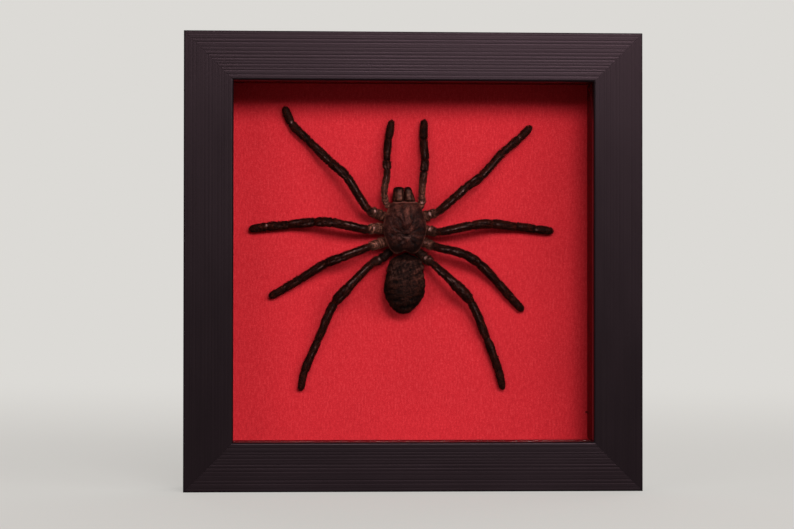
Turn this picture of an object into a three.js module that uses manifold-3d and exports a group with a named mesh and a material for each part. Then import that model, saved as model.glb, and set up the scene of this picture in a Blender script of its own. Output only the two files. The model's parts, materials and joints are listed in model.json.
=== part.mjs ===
// A dried tarantula spread on a red panel in a deep square shadow-box frame.
// Millimetres. +Z is up, the glass faces -Y, and the origin is the middle of the bottom edge's footprint.

import * as THREE from 'three';
import { mergeVertices } from 'three/addons/utils/BufferGeometryUtils.js';
import Module from 'manifold-3d';

const wasm = await Module();
wasm.setup();

// ---- Driving dimensions of the frame ----

const FRAME_SIDE = 190; // outer width and height
const FRAME_DEPTH = 38;
const FACE_WIDTH = 20.5; // a rail seen from the front
const WALL_WIDTH = 13.9; // a rail behind its lip, beside the rabbet
const LIP_THICKNESS = 4.5;
const SIGHT_STEP = 1.2; // how far the lip hides the red walls behind it
const BOTTOM_LINING_RISE = 0.6; // the bottom wall stands this much further in than the others
const PANEL_DEPTH = 31; // front of the frame to the red panel
const GAP = 0.3; // clearance between pieces that touch

const GLASS_THICKNESS = 2;
const PANEL_THICKNESS = 2;
const BOARD_THICKNESS = 2.5;

const REED_START = 3; // outer edge of a rail to its first groove
const REED_PITCH = 1.7;
const REED_COUNT = 9;
const REED_GROOVE = 0.5;
const REED_DEPTH = 0.3;

const TAB = { length: 14, width: 8, thickness: 0.5, bite: 5, spacing: 80 };
const HANGER = {
  length: 44, height: 9, thickness: 0.6, bow: 0.9, raised: 13, teeth: 9, toothDepth: 1.6, topDrop: 14,
};
const RIVET = { shank: 0.8, hole: 1.1, head: 1.9, headThickness: 0.5 };

// ---- Places worked out from them ----

const FRONT_Y = -FRAME_DEPTH / 2;
const BACK_Y = FRAME_DEPTH / 2;
const HALF_SIDE = FRAME_SIDE / 2;
const CENTRE_Z = FRAME_SIDE / 2;
const LIP_BACK_Y = FRONT_Y + LIP_THICKNESS;
const PANEL_Y = FRONT_Y + PANEL_DEPTH;
const GLASS_Y = LIP_BACK_Y + GAP;
const LINING_Y = GLASS_Y + GLASS_THICKNESS + GAP;
const BOARD_Y = PANEL_Y + PANEL_THICKNESS + GAP;
const BOARD_BACK_Y = BOARD_Y + BOARD_THICKNESS;
const FILLER_HALF = HALF_SIDE - WALL_WIDTH - GAP; // half the side of what fills the rabbet
const LINING_HALF = HALF_SIDE - FACE_WIDTH + SIGHT_STEP; // centre to the red walls' faces
const TAB_Y = BOARD_BACK_Y + GAP;
const HANGER_Y = BOARD_BACK_Y + GAP;
const HANGER_Z = CENTRE_Z + FILLER_HALF - HANGER.topDrop;
const RIVET_X = HANGER.length / 2 - 3;

// ---- The spider's shape ----

// Each joint is [x, z, height]: x and z across the frame, height above the red panel. From the sternum out they are
// the coxa's inner end, coxa and trochanter, trochanter and femur, femur and patella, patella and tibia,
// tibia and metatarsus, metatarsus and tarsus, and the tip.
const LEG_JOINTS = {
  leg_left_1: [[-6.8, 112.4, 4.2], [-14.4, 115.7, 5.4], [-17.8, 117, 7.8], [-27.2, 130.8, 10.2],
    [-33.8, 137.2, 6.6], [-43, 146.4, 3.2], [-50.2, 153.8, 2.5], [-53.3, 160.7, 2.1]],
  leg_left_2: [[-6.9, 108.8, 4.2], [-15.2, 109.3, 5.4], [-18.2, 108.8, 7.8], [-32.8, 111.5, 10.2],
    [-40.3, 111.9, 6.6], [-51.2, 110.9, 3.2], [-60.2, 110, 2.5], [-67.8, 108.9, 2.1]],
  leg_left_3: [[-6.8, 104.9, 4.2], [-13.8, 102.7, 5.4], [-17.4, 101.5, 7.8], [-29.3, 96.9, 10.2],
    [-35.5, 94.6, 6.6], [-46.1, 88.1, 3.2], [-52.9, 84, 2.5], [-59.4, 80.5, 2.1]],
  leg_left_4: [[-6.6, 101, 3.8], [-12.8, 96.4, 4.9], [-16.4, 94.4, 7.8], [-26.3, 84.4, 10.2],
    [-32.1, 77.8, 6.6], [-38.9, 62.2, 3.2], [-44.5, 49, 2.5], [-46.3, 41, 2.1]],
  leg_right_1: [[2, 112.4, 4.2], [8, 115.1, 5.4], [11.3, 116.3, 7.8], [23.1, 126.4, 10.2],
    [29.9, 131.4, 6.6], [39.4, 141.7, 3.2], [46.3, 147.6, 2.5], [51.6, 153, 2.1]],
  leg_right_2: [[2.1, 108.8, 4.2], [8, 108.4, 5.4], [11.2, 107.8, 7.8], [25.4, 110.4, 10.2],
    [34.4, 111.3, 6.6], [44.9, 110.3, 3.2], [53.5, 109.3, 2.5], [60.9, 108.3, 2.1]],
  leg_right_3: [[2, 104.9, 4.2], [6.9, 103.1, 5.4], [9.9, 101.7, 7.8], [22, 98.5, 10.2],
    [28.9, 94.6, 6.6], [37.1, 86.7, 3.2], [42.9, 80.2, 2.5], [48, 74.7, 2.1]],
  leg_right_4: [[1.8, 101, 3.8], [6.4, 96.8, 4.9], [9.1, 94.5, 7.8], [17.9, 86.4, 10.2],
    [25.5, 78.3, 6.6], [32.6, 62.8, 3.2], [37.6, 49.6, 2.5], [39.6, 41.3, 2.1]],
};

// Each leg's thickness against the radii below, since the legs have dried unevenly.
const LEG_GIRTH = {
  leg_left_1: 1.12, leg_left_2: 1.16, leg_left_3: 1.1, leg_left_4: 1.08,
  leg_right_1: 1.08, leg_right_2: 1.13, leg_right_3: 1.12, leg_right_4: 1.1,
};

// A palp is a leg without the metatarsus.
const PALP_JOINTS = {
  palp_left: [[-6.2, 116.8, 4.2], [-10, 119.8, 5.4], [-11, 123.8, 6.2], [-9.9, 133.8, 6.6],
    [-10, 138.1, 5.6], [-9.2, 146.9, 3.2], [-7.7, 154.9, 2]],
  palp_right: [[1.4, 116.8, 4.2], [4.6, 119.6, 5.4], [4.8, 123.6, 6.2], [5.6, 133.2, 6.6],
    [6.2, 138.3, 5.6], [5.7, 147.1, 3.2], [6.1, 155.3, 2]],
};

// Limb radius against the joint it lies past: 2.5 is halfway along the femur.
const LEG_RADII = [[0, 0], [0.04, 1.1], [0.15, 1.6], [0.4, 1.9], [0.8, 2.05], [1, 1.9], [1.25, 1.95],
  [1.65, 1.8], [2, 1.52], [2.12, 1.5], [2.4, 1.6], [2.85, 1.68], [3, 1.58], [3.2, 1.74], [3.75, 1.76],
  [4, 1.54], [4.2, 1.68], [4.6, 1.62], [4.9, 1.56], [5, 1.45], [5.15, 1.56], [5.8, 1.62], [6, 1.5], [6.25, 1.64],
  [6.6, 1.58], [6.86, 1.2], [6.96, 0.65], [7, 0]];
const PALP_RADII = [[0, 0], [0.05, 0.9], [0.2, 1.3], [0.7, 1.45], [1, 1.4], [1.5, 1.48], [2, 1.38], [2.2, 1.36],
  [2.7, 1.42], [3, 1.45], [3.3, 1.66], [3.8, 1.66], [4, 1.46], [4.2, 1.52], [4.7, 1.54], [5, 1.48], [5.25, 1.62],
  [5.6, 1.6], [5.86, 1.2], [5.96, 0.65], [6, 0]];
const PALP_GIRTH = { palp_left: 1.03, palp_right: 1.1 };
const LIMB_SIDES = 10;

// The hindmost legs have slimmer coxae and stouter patellae than the table gives.
const HIND_COXA = 0.92;
const HIND_PATELLA = 1.2;

// Half widths against z, tail end first.
const CARAPACE = {
  x: -2.5,
  outline: [[0, 98.4], [3.9, 98.6], [6.2, 100.3], [7.7, 103.2], [8.75, 106.3], [9.15, 109.2], [9, 111.6],
    [8.35, 114.4], [7.3, 117.1], [6.4, 118.8], [5.5, 120.1], [4.6, 120.6], [0, 120.7]],
  widest: 9.15,
  rim: 7.6, // height of its edge above the panel
  dome: 3.9,
  belly: 0.3,
  headRise: 1.5,
  headHalfWidth: 4,
  headFrom: 107,
  headTo: 112,
  notch: 1.6, // depth of the dip in the middle of its rear edge
  notchHalfWidth: 1.7,
  notchFrom: 98.4,
  notchTo: 102.4,
};
const STERNUM = { x: -2.4, z: 107.6, height: 5, halfWidth: 3.7, halfLength: 7.6, halfHeight: 3.2 };
const ABDOMEN = {
  x: -2.3,
  outline: [[0, 73.1], [2.7, 73.7], [4.7, 75.3], [6.6, 77.6], [7.95, 80.3], [8.75, 83], [8.8, 85.5], [8.35, 88],
    [7.95, 90.5], [7.7, 93], [7.3, 94.9], [6.5, 96.2], [5.3, 97], [3.5, 97.8], [2, 98.3], [1.2, 98.8],
    [0.95, 99.2], [0, 99.3]],
  lean: 0.045, // how far the tail leans to the left, for each millimetre behind the straight end
  straightAt: 90.5,
  droop: 2.6, // how far the front end sinks towards the waist
  droopFrom: 95.5,
  droopTo: 98.4,
  height: 7.4,
  flatness: 0.66, // thickness against width
};
const CHELICERAE = {
  chelicera_left: { baseX: -5.45, tipX: -5, baseHalf: 2.5, tipHalf: 2.1 },
  chelicera_right: { baseX: -0.15, tipX: -1.25, baseHalf: 2.45, tipHalf: 1.3 },
};
const CHELICERA_FROM = 121.1;
const CHELICERA_TO = 126.6;
const CHELICERA_HEIGHT = 6.9;
const CHELICERA_HALF_HEIGHT = 3.8;

// ---- Materials ----

const finish = (name, color, roughness, metalness = 0) =>
  new THREE.MeshStandardMaterial({ name, color, roughness, metalness });

const MATERIALS = {
  moulding: finish('moulding', 0x2f252a, 0.45),
  glass: new THREE.MeshStandardMaterial({
    name: 'glass', color: 0xf2f8f7, roughness: 0.02, metalness: 0, transparent: true, opacity: 0.15,
  }),
  redBoard: finish('red_mount_board', 0xc4242f, 0.9),
  deepRedBoard: finish('deep_red_foam_board', 0x6d171d, 0.9),
  hardboard: finish('hardboard', 0x6b4a30, 0.85),
  steel: finish('steel', 0x9b9d9f, 0.35, 1),
  carapace: finish('carapace', 0x35221d, 0.6),
  abdomen: finish('abdomen', 0x21150f, 0.75),
  limb: finish('limb', 0x2c1d18, 0.7),
};

// ---- Making solids ----

// The same shape with only positions, shared corners merged and slivers dropped, so that it is one closed body.
function closed(geometry) {
  const bare = geometry.clone();
  bare.deleteAttribute('normal');
  bare.deleteAttribute('uv');
  const merged = mergeVertices(bare, 1e-4);
  const corners = merged.index.array;
  const kept = [];
  for (let i = 0; i < corners.length; i += 3) {
    const [a, b, c] = [corners[i], corners[i + 1], corners[i + 2]];
    if (a !== b && b !== c && c !== a) kept.push(a, b, c);
  }
  merged.setIndex(kept);
  return merged;
}

function toSolid(geometry) {
  const merged = closed(geometry);
  return new wasm.Manifold(new wasm.Mesh({
    numProp: 3,
    vertProperties: new Float32Array(merged.getAttribute('position').array),
    triVerts: new Uint32Array(merged.index.array),
  }));
}

function fromSolid(solid) {
  const mesh = solid.getMesh();
  const geometry = new THREE.BufferGeometry();
  geometry.setAttribute('position', new THREE.BufferAttribute(mesh.vertProperties, 3));
  geometry.setIndex(new THREE.BufferAttribute(mesh.triVerts, 1));
  geometry.computeVertexNormals();
  return geometry;
}

const cut = (geometry, tools) =>
  fromSolid(tools.reduce((solid, tool) => solid.subtract(toSolid(tool)), toSolid(geometry)));

const join = (geometry, other) => fromSolid(toSolid(geometry).add(toSolid(other)));

// A box between two corners.
function boxBetween([x0, y0, z0], [x1, y1, z1]) {
  const box = new THREE.BoxGeometry(x1 - x0, y1 - y0, z1 - z0);
  return box.translate((x0 + x1) / 2, (y0 + y1) / 2, (z0 + z1) / 2);
}

// Moves every corner of a geometry to where place(corner) puts it.
function mould(geometry, place) {
  const positions = geometry.getAttribute('position');
  const corner = new THREE.Vector3();
  for (let i = 0; i < positions.count; i += 1) {
    corner.fromBufferAttribute(positions, i);
    const moved = place(corner);
    positions.setXYZ(i, moved.x, moved.y, moved.z);
  }
  const body = closed(geometry);
  body.computeVertexNormals();
  return body;
}

const group = new THREE.Group();

function addPiece(name, geometry, material, parent = group) {
  const mesh = new THREE.Mesh(geometry, material);
  mesh.name = name;
  parent.add(mesh);
  return mesh;
}

// ---- Rails ----

// The moulding's section: x runs in from the frame's outer edge, y runs back from its face.
function mouldingSection() {
  const section = new THREE.Shape();
  section.moveTo(0, BACK_Y);
  section.lineTo(0, FRONT_Y + 0.6);
  section.lineTo(0.6, FRONT_Y);
  for (let i = 0; i < REED_COUNT; i += 1) {
    const x = REED_START + i * REED_PITCH;
    section.lineTo(x, FRONT_Y);
    section.lineTo(x + REED_GROOVE / 2, FRONT_Y + REED_DEPTH);
    section.lineTo(x + REED_GROOVE, FRONT_Y);
  }
  section.lineTo(FACE_WIDTH - 2, FRONT_Y);
  section.lineTo(FACE_WIDTH - 1.8, FRONT_Y + REED_DEPTH);
  section.lineTo(FACE_WIDTH - 0.5, FRONT_Y + 0.6);
  section.lineTo(FACE_WIDTH, FRONT_Y + 1.2);
  section.lineTo(FACE_WIDTH, LIP_BACK_Y);
  section.lineTo(WALL_WIDTH, LIP_BACK_Y);
  section.lineTo(WALL_WIDTH, BACK_Y);
  section.closePath();
  return section;
}

// The bottom rail about the frame's centre. Its ends are mitred: at x in from the edge it is x shorter.
function railGeometry() {
  const bar = new THREE.ExtrudeGeometry(mouldingSection(), { depth: 2, bevelEnabled: false });
  bar.translate(0, 0, -1);
  return mould(bar, (p) => {
    const halfLength = HALF_SIDE - p.x - GAP / 2;
    return new THREE.Vector3(-Math.sign(p.z) * halfLength, p.y, p.x - HALF_SIDE);
  });
}

// Where a side's two tabs stand, along the side.
const TAB_PLACES = [-TAB.spacing / 2, TAB.spacing / 2];

function tabSlots() {
  const top = WALL_WIDTH - HALF_SIDE;
  return TAB_PLACES.map((x) => boxBetween(
    [x - TAB.width / 2 - GAP, TAB_Y - GAP, top - TAB.bite - GAP],
    [x + TAB.width / 2 + GAP, TAB_Y + TAB.thickness + GAP, top + GAP],
  ));
}

function tabGeometry(x) {
  const bottom = WALL_WIDTH - HALF_SIDE - TAB.bite;
  return boxBetween(
    [x - TAB.width / 2, TAB_Y, bottom],
    [x + TAB.width / 2, TAB_Y + TAB.thickness, bottom + TAB.length],
  );
}

// The four sides are one side turned about the frame's centre.
['bottom', 'left', 'top', 'right'].forEach((side, turn) => {
  const quarter = new THREE.Group();
  quarter.position.z = CENTRE_Z;
  quarter.rotation.y = (turn * Math.PI) / 2;
  group.add(quarter);
  addPiece(`rail_${side}`, cut(railGeometry(), tabSlots()), MATERIALS.moulding, quarter);
  TAB_PLACES.forEach((x, i) => {
    addPiece(`back_tab_${turn * 2 + i + 1}`, tabGeometry(x), MATERIALS.steel, quarter);
  });
});

// ---- Glass, linings, panel and back board ----

const squareSheet = (y, thickness) => boxBetween(
  [-FILLER_HALF, y, CENTRE_Z - FILLER_HALF],
  [FILLER_HALF, y + thickness, CENTRE_Z + FILLER_HALF],
);

addPiece('glass', squareSheet(GLASS_Y, GLASS_THICKNESS), MATERIALS.glass);
addPiece('panel', squareSheet(PANEL_Y, PANEL_THICKNESS), MATERIALS.redBoard);

// The top and bottom linings run right across, and the side ones stand between them.
const liningEnd = PANEL_Y - GAP;
const liningLow = CENTRE_Z - LINING_HALF + BOTTOM_LINING_RISE;
const liningHigh = CENTRE_Z + LINING_HALF;
const LININGS = {
  bottom: [-FILLER_HALF, CENTRE_Z - FILLER_HALF, FILLER_HALF, liningLow],
  top: [-FILLER_HALF, liningHigh, FILLER_HALF, CENTRE_Z + FILLER_HALF],
  left: [-FILLER_HALF, liningLow + GAP, -LINING_HALF, liningHigh - GAP],
  right: [LINING_HALF, liningLow + GAP, FILLER_HALF, liningHigh - GAP],
};
for (const [name, [left, low, right, high]] of Object.entries(LININGS)) {
  const strip = boxBetween([left, LINING_Y, low], [right, liningEnd, high]);
  addPiece(`lining_${name}`, strip, MATERIALS.deepRedBoard);
}

function rivetHole(x) {
  const hole = new THREE.CylinderGeometry(RIVET.hole, RIVET.hole, 20, 16);
  return hole.translate(x, BOARD_BACK_Y, HANGER_Z);
}
const RIVET_HOLES = [-RIVET_X, RIVET_X].map(rivetHole);
addPiece('back_board', cut(squareSheet(BOARD_Y, BOARD_THICKNESS), RIVET_HOLES), MATERIALS.hardboard);

// ---- Hanger ----

// A strip whose middle is raised off the board, with saw teeth cut in the middle's lower edge.
function stripGeometry() {
  const half = HANGER.length / 2;
  const bend = [[half, 0], [HANGER.raised + HANGER.bow, 0], [HANGER.raised, HANGER.bow]];
  const face = [...bend, ...bend.map(([x, y]) => [-x, y]).reverse()];
  const back = face.map(([x, y]) => [x, y + HANGER.thickness]).reverse();
  const section = new THREE.Shape([...face, ...back].map(([x, y]) => new THREE.Vector2(x, y)));
  const strip = new THREE.ExtrudeGeometry(section, { depth: HANGER.height, bevelEnabled: false });
  return strip.translate(0, HANGER_Y, HANGER_Z - HANGER.height / 2);
}

function toothNotches() {
  const pitch = (2 * HANGER.raised) / HANGER.teeth;
  const notches = [];
  for (let i = 0; i < HANGER.teeth; i += 1) {
    const x = -HANGER.raised + (i + 0.5) * pitch;
    const notch = new THREE.CylinderGeometry(pitch * 0.45, pitch * 0.45, 20, 3);
    notch.scale(1, 1, HANGER.toothDepth / (pitch * 0.45));
    notches.push(notch.translate(x, HANGER_Y, HANGER_Z - HANGER.height / 2));
  }
  return notches;
}
addPiece('hanger', cut(stripGeometry(), [...RIVET_HOLES, ...toothNotches()]), MATERIALS.steel);

function rivetGeometry(x) {
  const headFrom = HANGER_Y + HANGER.thickness + GAP;
  const headTo = headFrom + RIVET.headThickness;
  const profile = [[0, BOARD_Y + GAP], [RIVET.shank, BOARD_Y + GAP], [RIVET.shank, headFrom],
    [RIVET.head, headFrom], [RIVET.head * 0.7, headTo], [0, headTo]];
  const rivet = new THREE.LatheGeometry(profile.map(([r, y]) => new THREE.Vector2(r, y)), 16);
  return closed(rivet.translate(x, 0, HANGER_Z));
}
addPiece('rivet_left', rivetGeometry(-RIVET_X), MATERIALS.steel);
addPiece('rivet_right', rivetGeometry(RIVET_X), MATERIALS.steel);

// ---- Limbs ----

// A limb is turned straight on its own axis and then bent along the curve through its joints.
function limbGeometry(joints, radii, girth) {
  const path = new THREE.CatmullRomCurve3(
    joints.map(([x, z, height]) => new THREE.Vector3(x, PANEL_Y - height, z)),
    false,
    'centripetal',
  );
  const profile = radii.map(([s, r]) => new THREE.Vector2(r * girth, s));
  const straight = new THREE.LatheGeometry(profile, LIMB_SIDES);
  const back = new THREE.Vector3(0, 1, 0);
  return mould(straight, (p) => {
    const t = THREE.MathUtils.clamp(p.y / (joints.length - 1), 0, 1);
    const along = path.getTangent(t);
    const side = along.clone().cross(back).normalize();
    const up = side.clone().cross(along);
    return path.getPoint(t).addScaledVector(side, p.x).addScaledVector(up, p.z);
  });
}

function hindShare(s) {
  if (s < 1.1) return HIND_COXA;
  return s >= 3 && s < 3.9 ? HIND_PATELLA : 1;
}
const HIND_RADII = LEG_RADII.map(([s, r]) => [s, r * hindShare(s)]);

for (const [name, joints] of Object.entries(LEG_JOINTS)) {
  const radii = name.endsWith('4') ? HIND_RADII : LEG_RADII;
  addPiece(name, limbGeometry(joints, radii, LEG_GIRTH[name]), MATERIALS.limb);
}
for (const [name, joints] of Object.entries(PALP_JOINTS)) {
  addPiece(name, limbGeometry(joints, PALP_RADII, PALP_GIRTH[name]), MATERIALS.limb);
}

// ---- Body ----

// A round body about +Z with the half widths of an outline. After it is turned, +Y faces the panel.
function turnedBody(outline, rings, sides) {
  const edge = new THREE.SplineCurve(outline.map(([r, z]) => new THREE.Vector2(r, z)));
  const profile = edge.getPoints(rings);
  profile[0].x = 0;
  profile[rings].x = 0;
  return new THREE.LatheGeometry(profile, sides).rotateX(Math.PI / 2);
}

// The carapace is a dome with a thin flat underside, higher over the head.
function carapaceGeometry() {
  return mould(turnedBody(CARAPACE.outline, 24, 24), (p) => {
    const radius = Math.hypot(p.x, p.y);
    const rise = radius > 0 ? -p.y / radius : 0;
    const full = CARAPACE.dome * (radius / CARAPACE.widest) ** 0.6;
    const headward = THREE.MathUtils.smoothstep(p.z, CARAPACE.headFrom, CARAPACE.headTo);
    const head = CARAPACE.headRise * headward * Math.exp(-((p.x / CARAPACE.headHalfWidth) ** 2));
    const height = rise > 0 ? rise * (full + head) : rise * CARAPACE.belly;
    const rearward = 1 - THREE.MathUtils.smoothstep(p.z, CARAPACE.notchFrom, CARAPACE.notchTo);
    const notch = CARAPACE.notch * rearward * Math.exp(-((p.x / CARAPACE.notchHalfWidth) ** 2));
    return new THREE.Vector3(CARAPACE.x + p.x, PANEL_Y - CARAPACE.rim - height, p.z + notch);
  });
}

function sternumGeometry() {
  const sternum = new THREE.SphereGeometry(1, 16, 12);
  sternum.scale(STERNUM.halfWidth, STERNUM.halfHeight, STERNUM.halfLength);
  return sternum.translate(STERNUM.x, PANEL_Y - STERNUM.height, STERNUM.z);
}
addPiece('cephalothorax', join(carapaceGeometry(), sternumGeometry()), MATERIALS.carapace);

function abdomenGeometry() {
  return mould(turnedBody(ABDOMEN.outline, 22, 18), (p) => {
    const lean = ABDOMEN.lean * (p.z - ABDOMEN.straightAt);
    const droop = ABDOMEN.droop * THREE.MathUtils.smoothstep(p.z, ABDOMEN.droopFrom, ABDOMEN.droopTo);
    const y = PANEL_Y - ABDOMEN.height + droop + p.y * ABDOMEN.flatness;
    return new THREE.Vector3(ABDOMEN.x + p.x + lean, y, p.z);
  });
}
addPiece('abdomen', abdomenGeometry(), MATERIALS.abdomen);

// A jaw is a tapering lobe with a blunt front.
function cheliceraGeometry({ baseX, tipX, baseHalf, tipHalf }) {
  const length = CHELICERA_TO - CHELICERA_FROM;
  const outline = [[0, 0], [0.75, 0.02], [1, 0.2], [1, 0.6], [0.9, 0.85], [0.55, 0.97], [0, 1]];
  return mould(turnedBody(outline, 10, 12), (p) => {
    const half = THREE.MathUtils.lerp(baseHalf, tipHalf, p.z);
    const x = THREE.MathUtils.lerp(baseX, tipX, p.z) + p.x * half;
    const y = PANEL_Y - CHELICERA_HEIGHT + p.y * CHELICERA_HALF_HEIGHT;
    return new THREE.Vector3(x, y, CHELICERA_FROM + p.z * length);
  });
}
for (const [name, shape] of Object.entries(CHELICERAE)) {
  addPiece(name, cheliceraGeometry(shape), MATERIALS.carapace);
}

export default group;
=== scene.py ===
# %% [markdown]
# # A framed tarantula
# A dried tarantula lies spread on red paper in a deep square box frame with a pane in front.
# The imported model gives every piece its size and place, and this script gives each one its look.
# Lengths are written in millimetres and turned to metres once, when a mesh is made.

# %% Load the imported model
import json

import bpy
import numpy as np
from mathutils import Matrix

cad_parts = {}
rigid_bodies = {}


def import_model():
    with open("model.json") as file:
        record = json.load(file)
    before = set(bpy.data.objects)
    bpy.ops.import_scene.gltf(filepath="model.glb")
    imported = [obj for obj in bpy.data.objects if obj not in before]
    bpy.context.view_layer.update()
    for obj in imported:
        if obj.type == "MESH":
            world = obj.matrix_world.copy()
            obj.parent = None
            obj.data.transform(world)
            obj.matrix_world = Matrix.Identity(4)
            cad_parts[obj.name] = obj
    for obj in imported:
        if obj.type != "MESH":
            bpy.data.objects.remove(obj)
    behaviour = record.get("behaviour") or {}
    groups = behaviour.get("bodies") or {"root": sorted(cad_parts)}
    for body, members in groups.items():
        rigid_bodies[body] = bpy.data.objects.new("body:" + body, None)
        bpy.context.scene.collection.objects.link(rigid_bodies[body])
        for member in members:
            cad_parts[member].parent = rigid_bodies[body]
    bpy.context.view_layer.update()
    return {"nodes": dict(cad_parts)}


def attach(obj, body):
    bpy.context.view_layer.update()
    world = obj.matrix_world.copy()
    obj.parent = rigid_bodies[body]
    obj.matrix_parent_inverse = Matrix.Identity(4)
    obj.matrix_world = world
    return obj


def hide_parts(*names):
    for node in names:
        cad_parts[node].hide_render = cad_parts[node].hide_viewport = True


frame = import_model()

MM = 0.001

# %% [markdown]
# ## Small helpers
# Colours are easier to pick as the hex codes that paint programs show, but a shader works in linear light.
# One function turns the first into the second. Another adds a node, sets it and links it in one line.
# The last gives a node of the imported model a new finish, for a piece whose shape is right as it is.


# %% Colour and node helpers
def linear(hex_colour):
    """An sRGB hex colour as linear red, green, blue and alpha."""
    value = np.array([int(hex_colour[i:i + 2], 16) for i in (1, 3, 5)]) / 255
    low, high = value / 12.92, ((value + 0.055) / 1.055) ** 2.4
    return (*np.where(value <= 0.04045, low, high).tolist(), 1.0)


def plug(tree, node, inputs):
    """Fills a node's inputs: the output of another node is linked, and any other value is set."""
    for socket, value in inputs.items():
        if isinstance(value, bpy.types.NodeSocket):
            tree.links.new(value, node.inputs[socket])
        else:
            node.inputs[socket].default_value = value


def add(tree, kind, inputs=None, stops=(), **settings):
    """Adds a shader node, sets its properties and fills its inputs. A colour ramp also gets its stops,
    each a (place, hex colour)."""
    node = tree.nodes.new("ShaderNode" + kind)
    for key, value in settings.items():
        setattr(node, key, value)
    plug(tree, node, inputs or {})
    for _ in stops[2:]:
        node.color_ramp.elements.new(0.5)
    for k, (place, colour) in enumerate(stops):
        node.color_ramp.elements[k].position = place
        node.color_ramp.elements[k].color = linear(colour)
    return node


def new_material(name):
    """An empty material with its output and a Principled shader joined to it."""
    material = bpy.data.materials.new(name)
    material.use_nodes = True
    tree = material.node_tree
    tree.nodes.clear()
    shader = add(tree, "BsdfPrincipled")
    add(tree, "OutputMaterial", {"Surface": shader.outputs["BSDF"]})
    return material, tree, shader


def refinish(node, material):
    """Gives a CAD node a material in place of the plain one that it comes with."""
    slots = frame["nodes"][node].data.materials
    slots.clear()
    slots.append(material)


print("moulding black is", [round(c, 4) for c in linear("#2f252a")])

# %% [markdown]
# ## Putting arrays into a mesh
# Every new piece is a set of corner places worked out by numpy and a few sets of faces that name those
# corners. Faces have to point outwards. The volume that they enclose comes out negative when they point
# inwards, so the helper measures it and turns the faces round if it has to.


# %% Mesh helper
def signed_volume(points, face_sets):
    """Six times the volume: each face is cut into a fan of triangles, and their determinants are added."""
    total = 0.0
    for faces in face_sets:
        first = points[faces[:, 0]]
        for k in range(1, faces.shape[1] - 1):
            second, third = points[faces[:, k]], points[faces[:, k + 1]]
            total += np.einsum("ij,ij->", first, np.cross(second, third))
    return total


def piece(name, points, face_sets, node, material, zones=None, uv=None, loose=None):
    """Makes a mesh object from corner places in millimetres and face sets, to stand for a CAD node.
    loose is a second (points, faces) pair, such as hairs, whose faces already point outwards."""
    if signed_volume(points, face_sets) < 0:
        face_sets = [faces[:, ::-1] for faces in face_sets]
    if loose is not None:
        face_sets = [*face_sets, loose[1] + len(points)]
        points = np.vstack([points, loose[0]])
    loops = np.concatenate([faces.ravel() for faces in face_sets]).astype(np.int32)
    widths = np.concatenate([np.full(len(faces), faces.shape[1]) for faces in face_sets])
    starts = np.concatenate([[0], np.cumsum(widths)[:-1]]).astype(np.int32)
    mesh = bpy.data.meshes.new(name)
    mesh.vertices.add(len(points))
    mesh.vertices.foreach_set("co", (points * MM).astype(np.float32).ravel())
    mesh.loops.add(len(loops))
    mesh.loops.foreach_set("vertex_index", loops)
    mesh.polygons.add(len(starts))
    mesh.polygons.foreach_set("loop_start", starts)
    mesh.polygons.foreach_set("use_smooth", np.ones(len(starts), dtype=bool))
    mesh.update(calc_edges=True)
    if uv is not None:
        layer = mesh.uv_layers.new(name="surface_mm")
        layer.uv.foreach_set("vector", uv[loops].astype(np.float32).ravel())
    if zones is not None:
        attribute = mesh.attributes.new("zones", "FLOAT_COLOR", "POINT")
        attribute.data.foreach_set("color", zones[:, :4].astype(np.float32).ravel())
        attribute = mesh.attributes.new("shade", "FLOAT", "POINT")
        attribute.data.foreach_set("value", zones[:, 4].astype(np.float32))
    mesh.materials.append(material)
    obj = bpy.data.objects.new(name, mesh)
    bpy.context.scene.collection.objects.link(obj)
    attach(obj, "root")
    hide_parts(node)
    return obj


def tube_faces(rings, sides):
    """Faces of a closed tube: a pole, then rings of corners, then a pole. Quads join neighbouring rings,
    and a fan of triangles joins each end ring to its pole."""
    ring = np.arange(rings * sides).reshape(rings, sides) + 1
    turned = np.roll(ring, -1, axis=1)
    quads = np.stack([ring[:-1], turned[:-1], turned[1:], ring[1:]], axis=-1).reshape(-1, 4)
    last = rings * sides + 1
    start_fan = np.stack([np.zeros(sides, int), turned[0], ring[0]], axis=-1)
    end_fan = np.stack([np.full(sides, last), ring[-1], turned[-1]], axis=-1)
    return [quads, np.vstack([start_fan, end_fan])]


def with_poles(grid):
    """Corner places of a tube: the first ring's middle, all the rings, and the last ring's middle."""
    return np.vstack([grid[0].mean(0), grid.reshape(-1, grid.shape[-1]), grid[-1].mean(0)])


print("a tube of 4 rings and 6 sides has", sum(len(f) for f in tube_faces(4, 6)), "faces")

# %% [markdown]
# ## Camera
# The camera stands 1.1 m in front, a little to the left and slightly under the middle, behind a long lens.
# A long lens keeps the four sides of the frame nearly parallel. The shift stays at zero.

# %% Camera
camera_data = bpy.data.cameras.new("camera")
camera_data.lens = 120
camera_data.sensor_width = 36
camera_data.clip_start = 0.05
camera_data.clip_end = 50
camera = bpy.data.objects.new("camera", camera_data)
bpy.context.scene.collection.objects.link(camera)
EYE = np.array([-71.64, -1108.98, 77.57]) * MM
TO_THE_RIGHT = np.array([0.99825, -0.05909, 0.00081])
UPWARD = np.array([-0.00168, -0.01472, 0.99989])
pose = np.eye(4)
pose[:3] = np.stack([TO_THE_RIGHT, UPWARD, np.cross(TO_THE_RIGHT, UPWARD), EYE], axis=-1)
camera.matrix_world = Matrix(pose.tolist())
bpy.context.scene.camera = camera
print("camera at", EYE.round(4), "lens", camera_data.lens)

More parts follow.
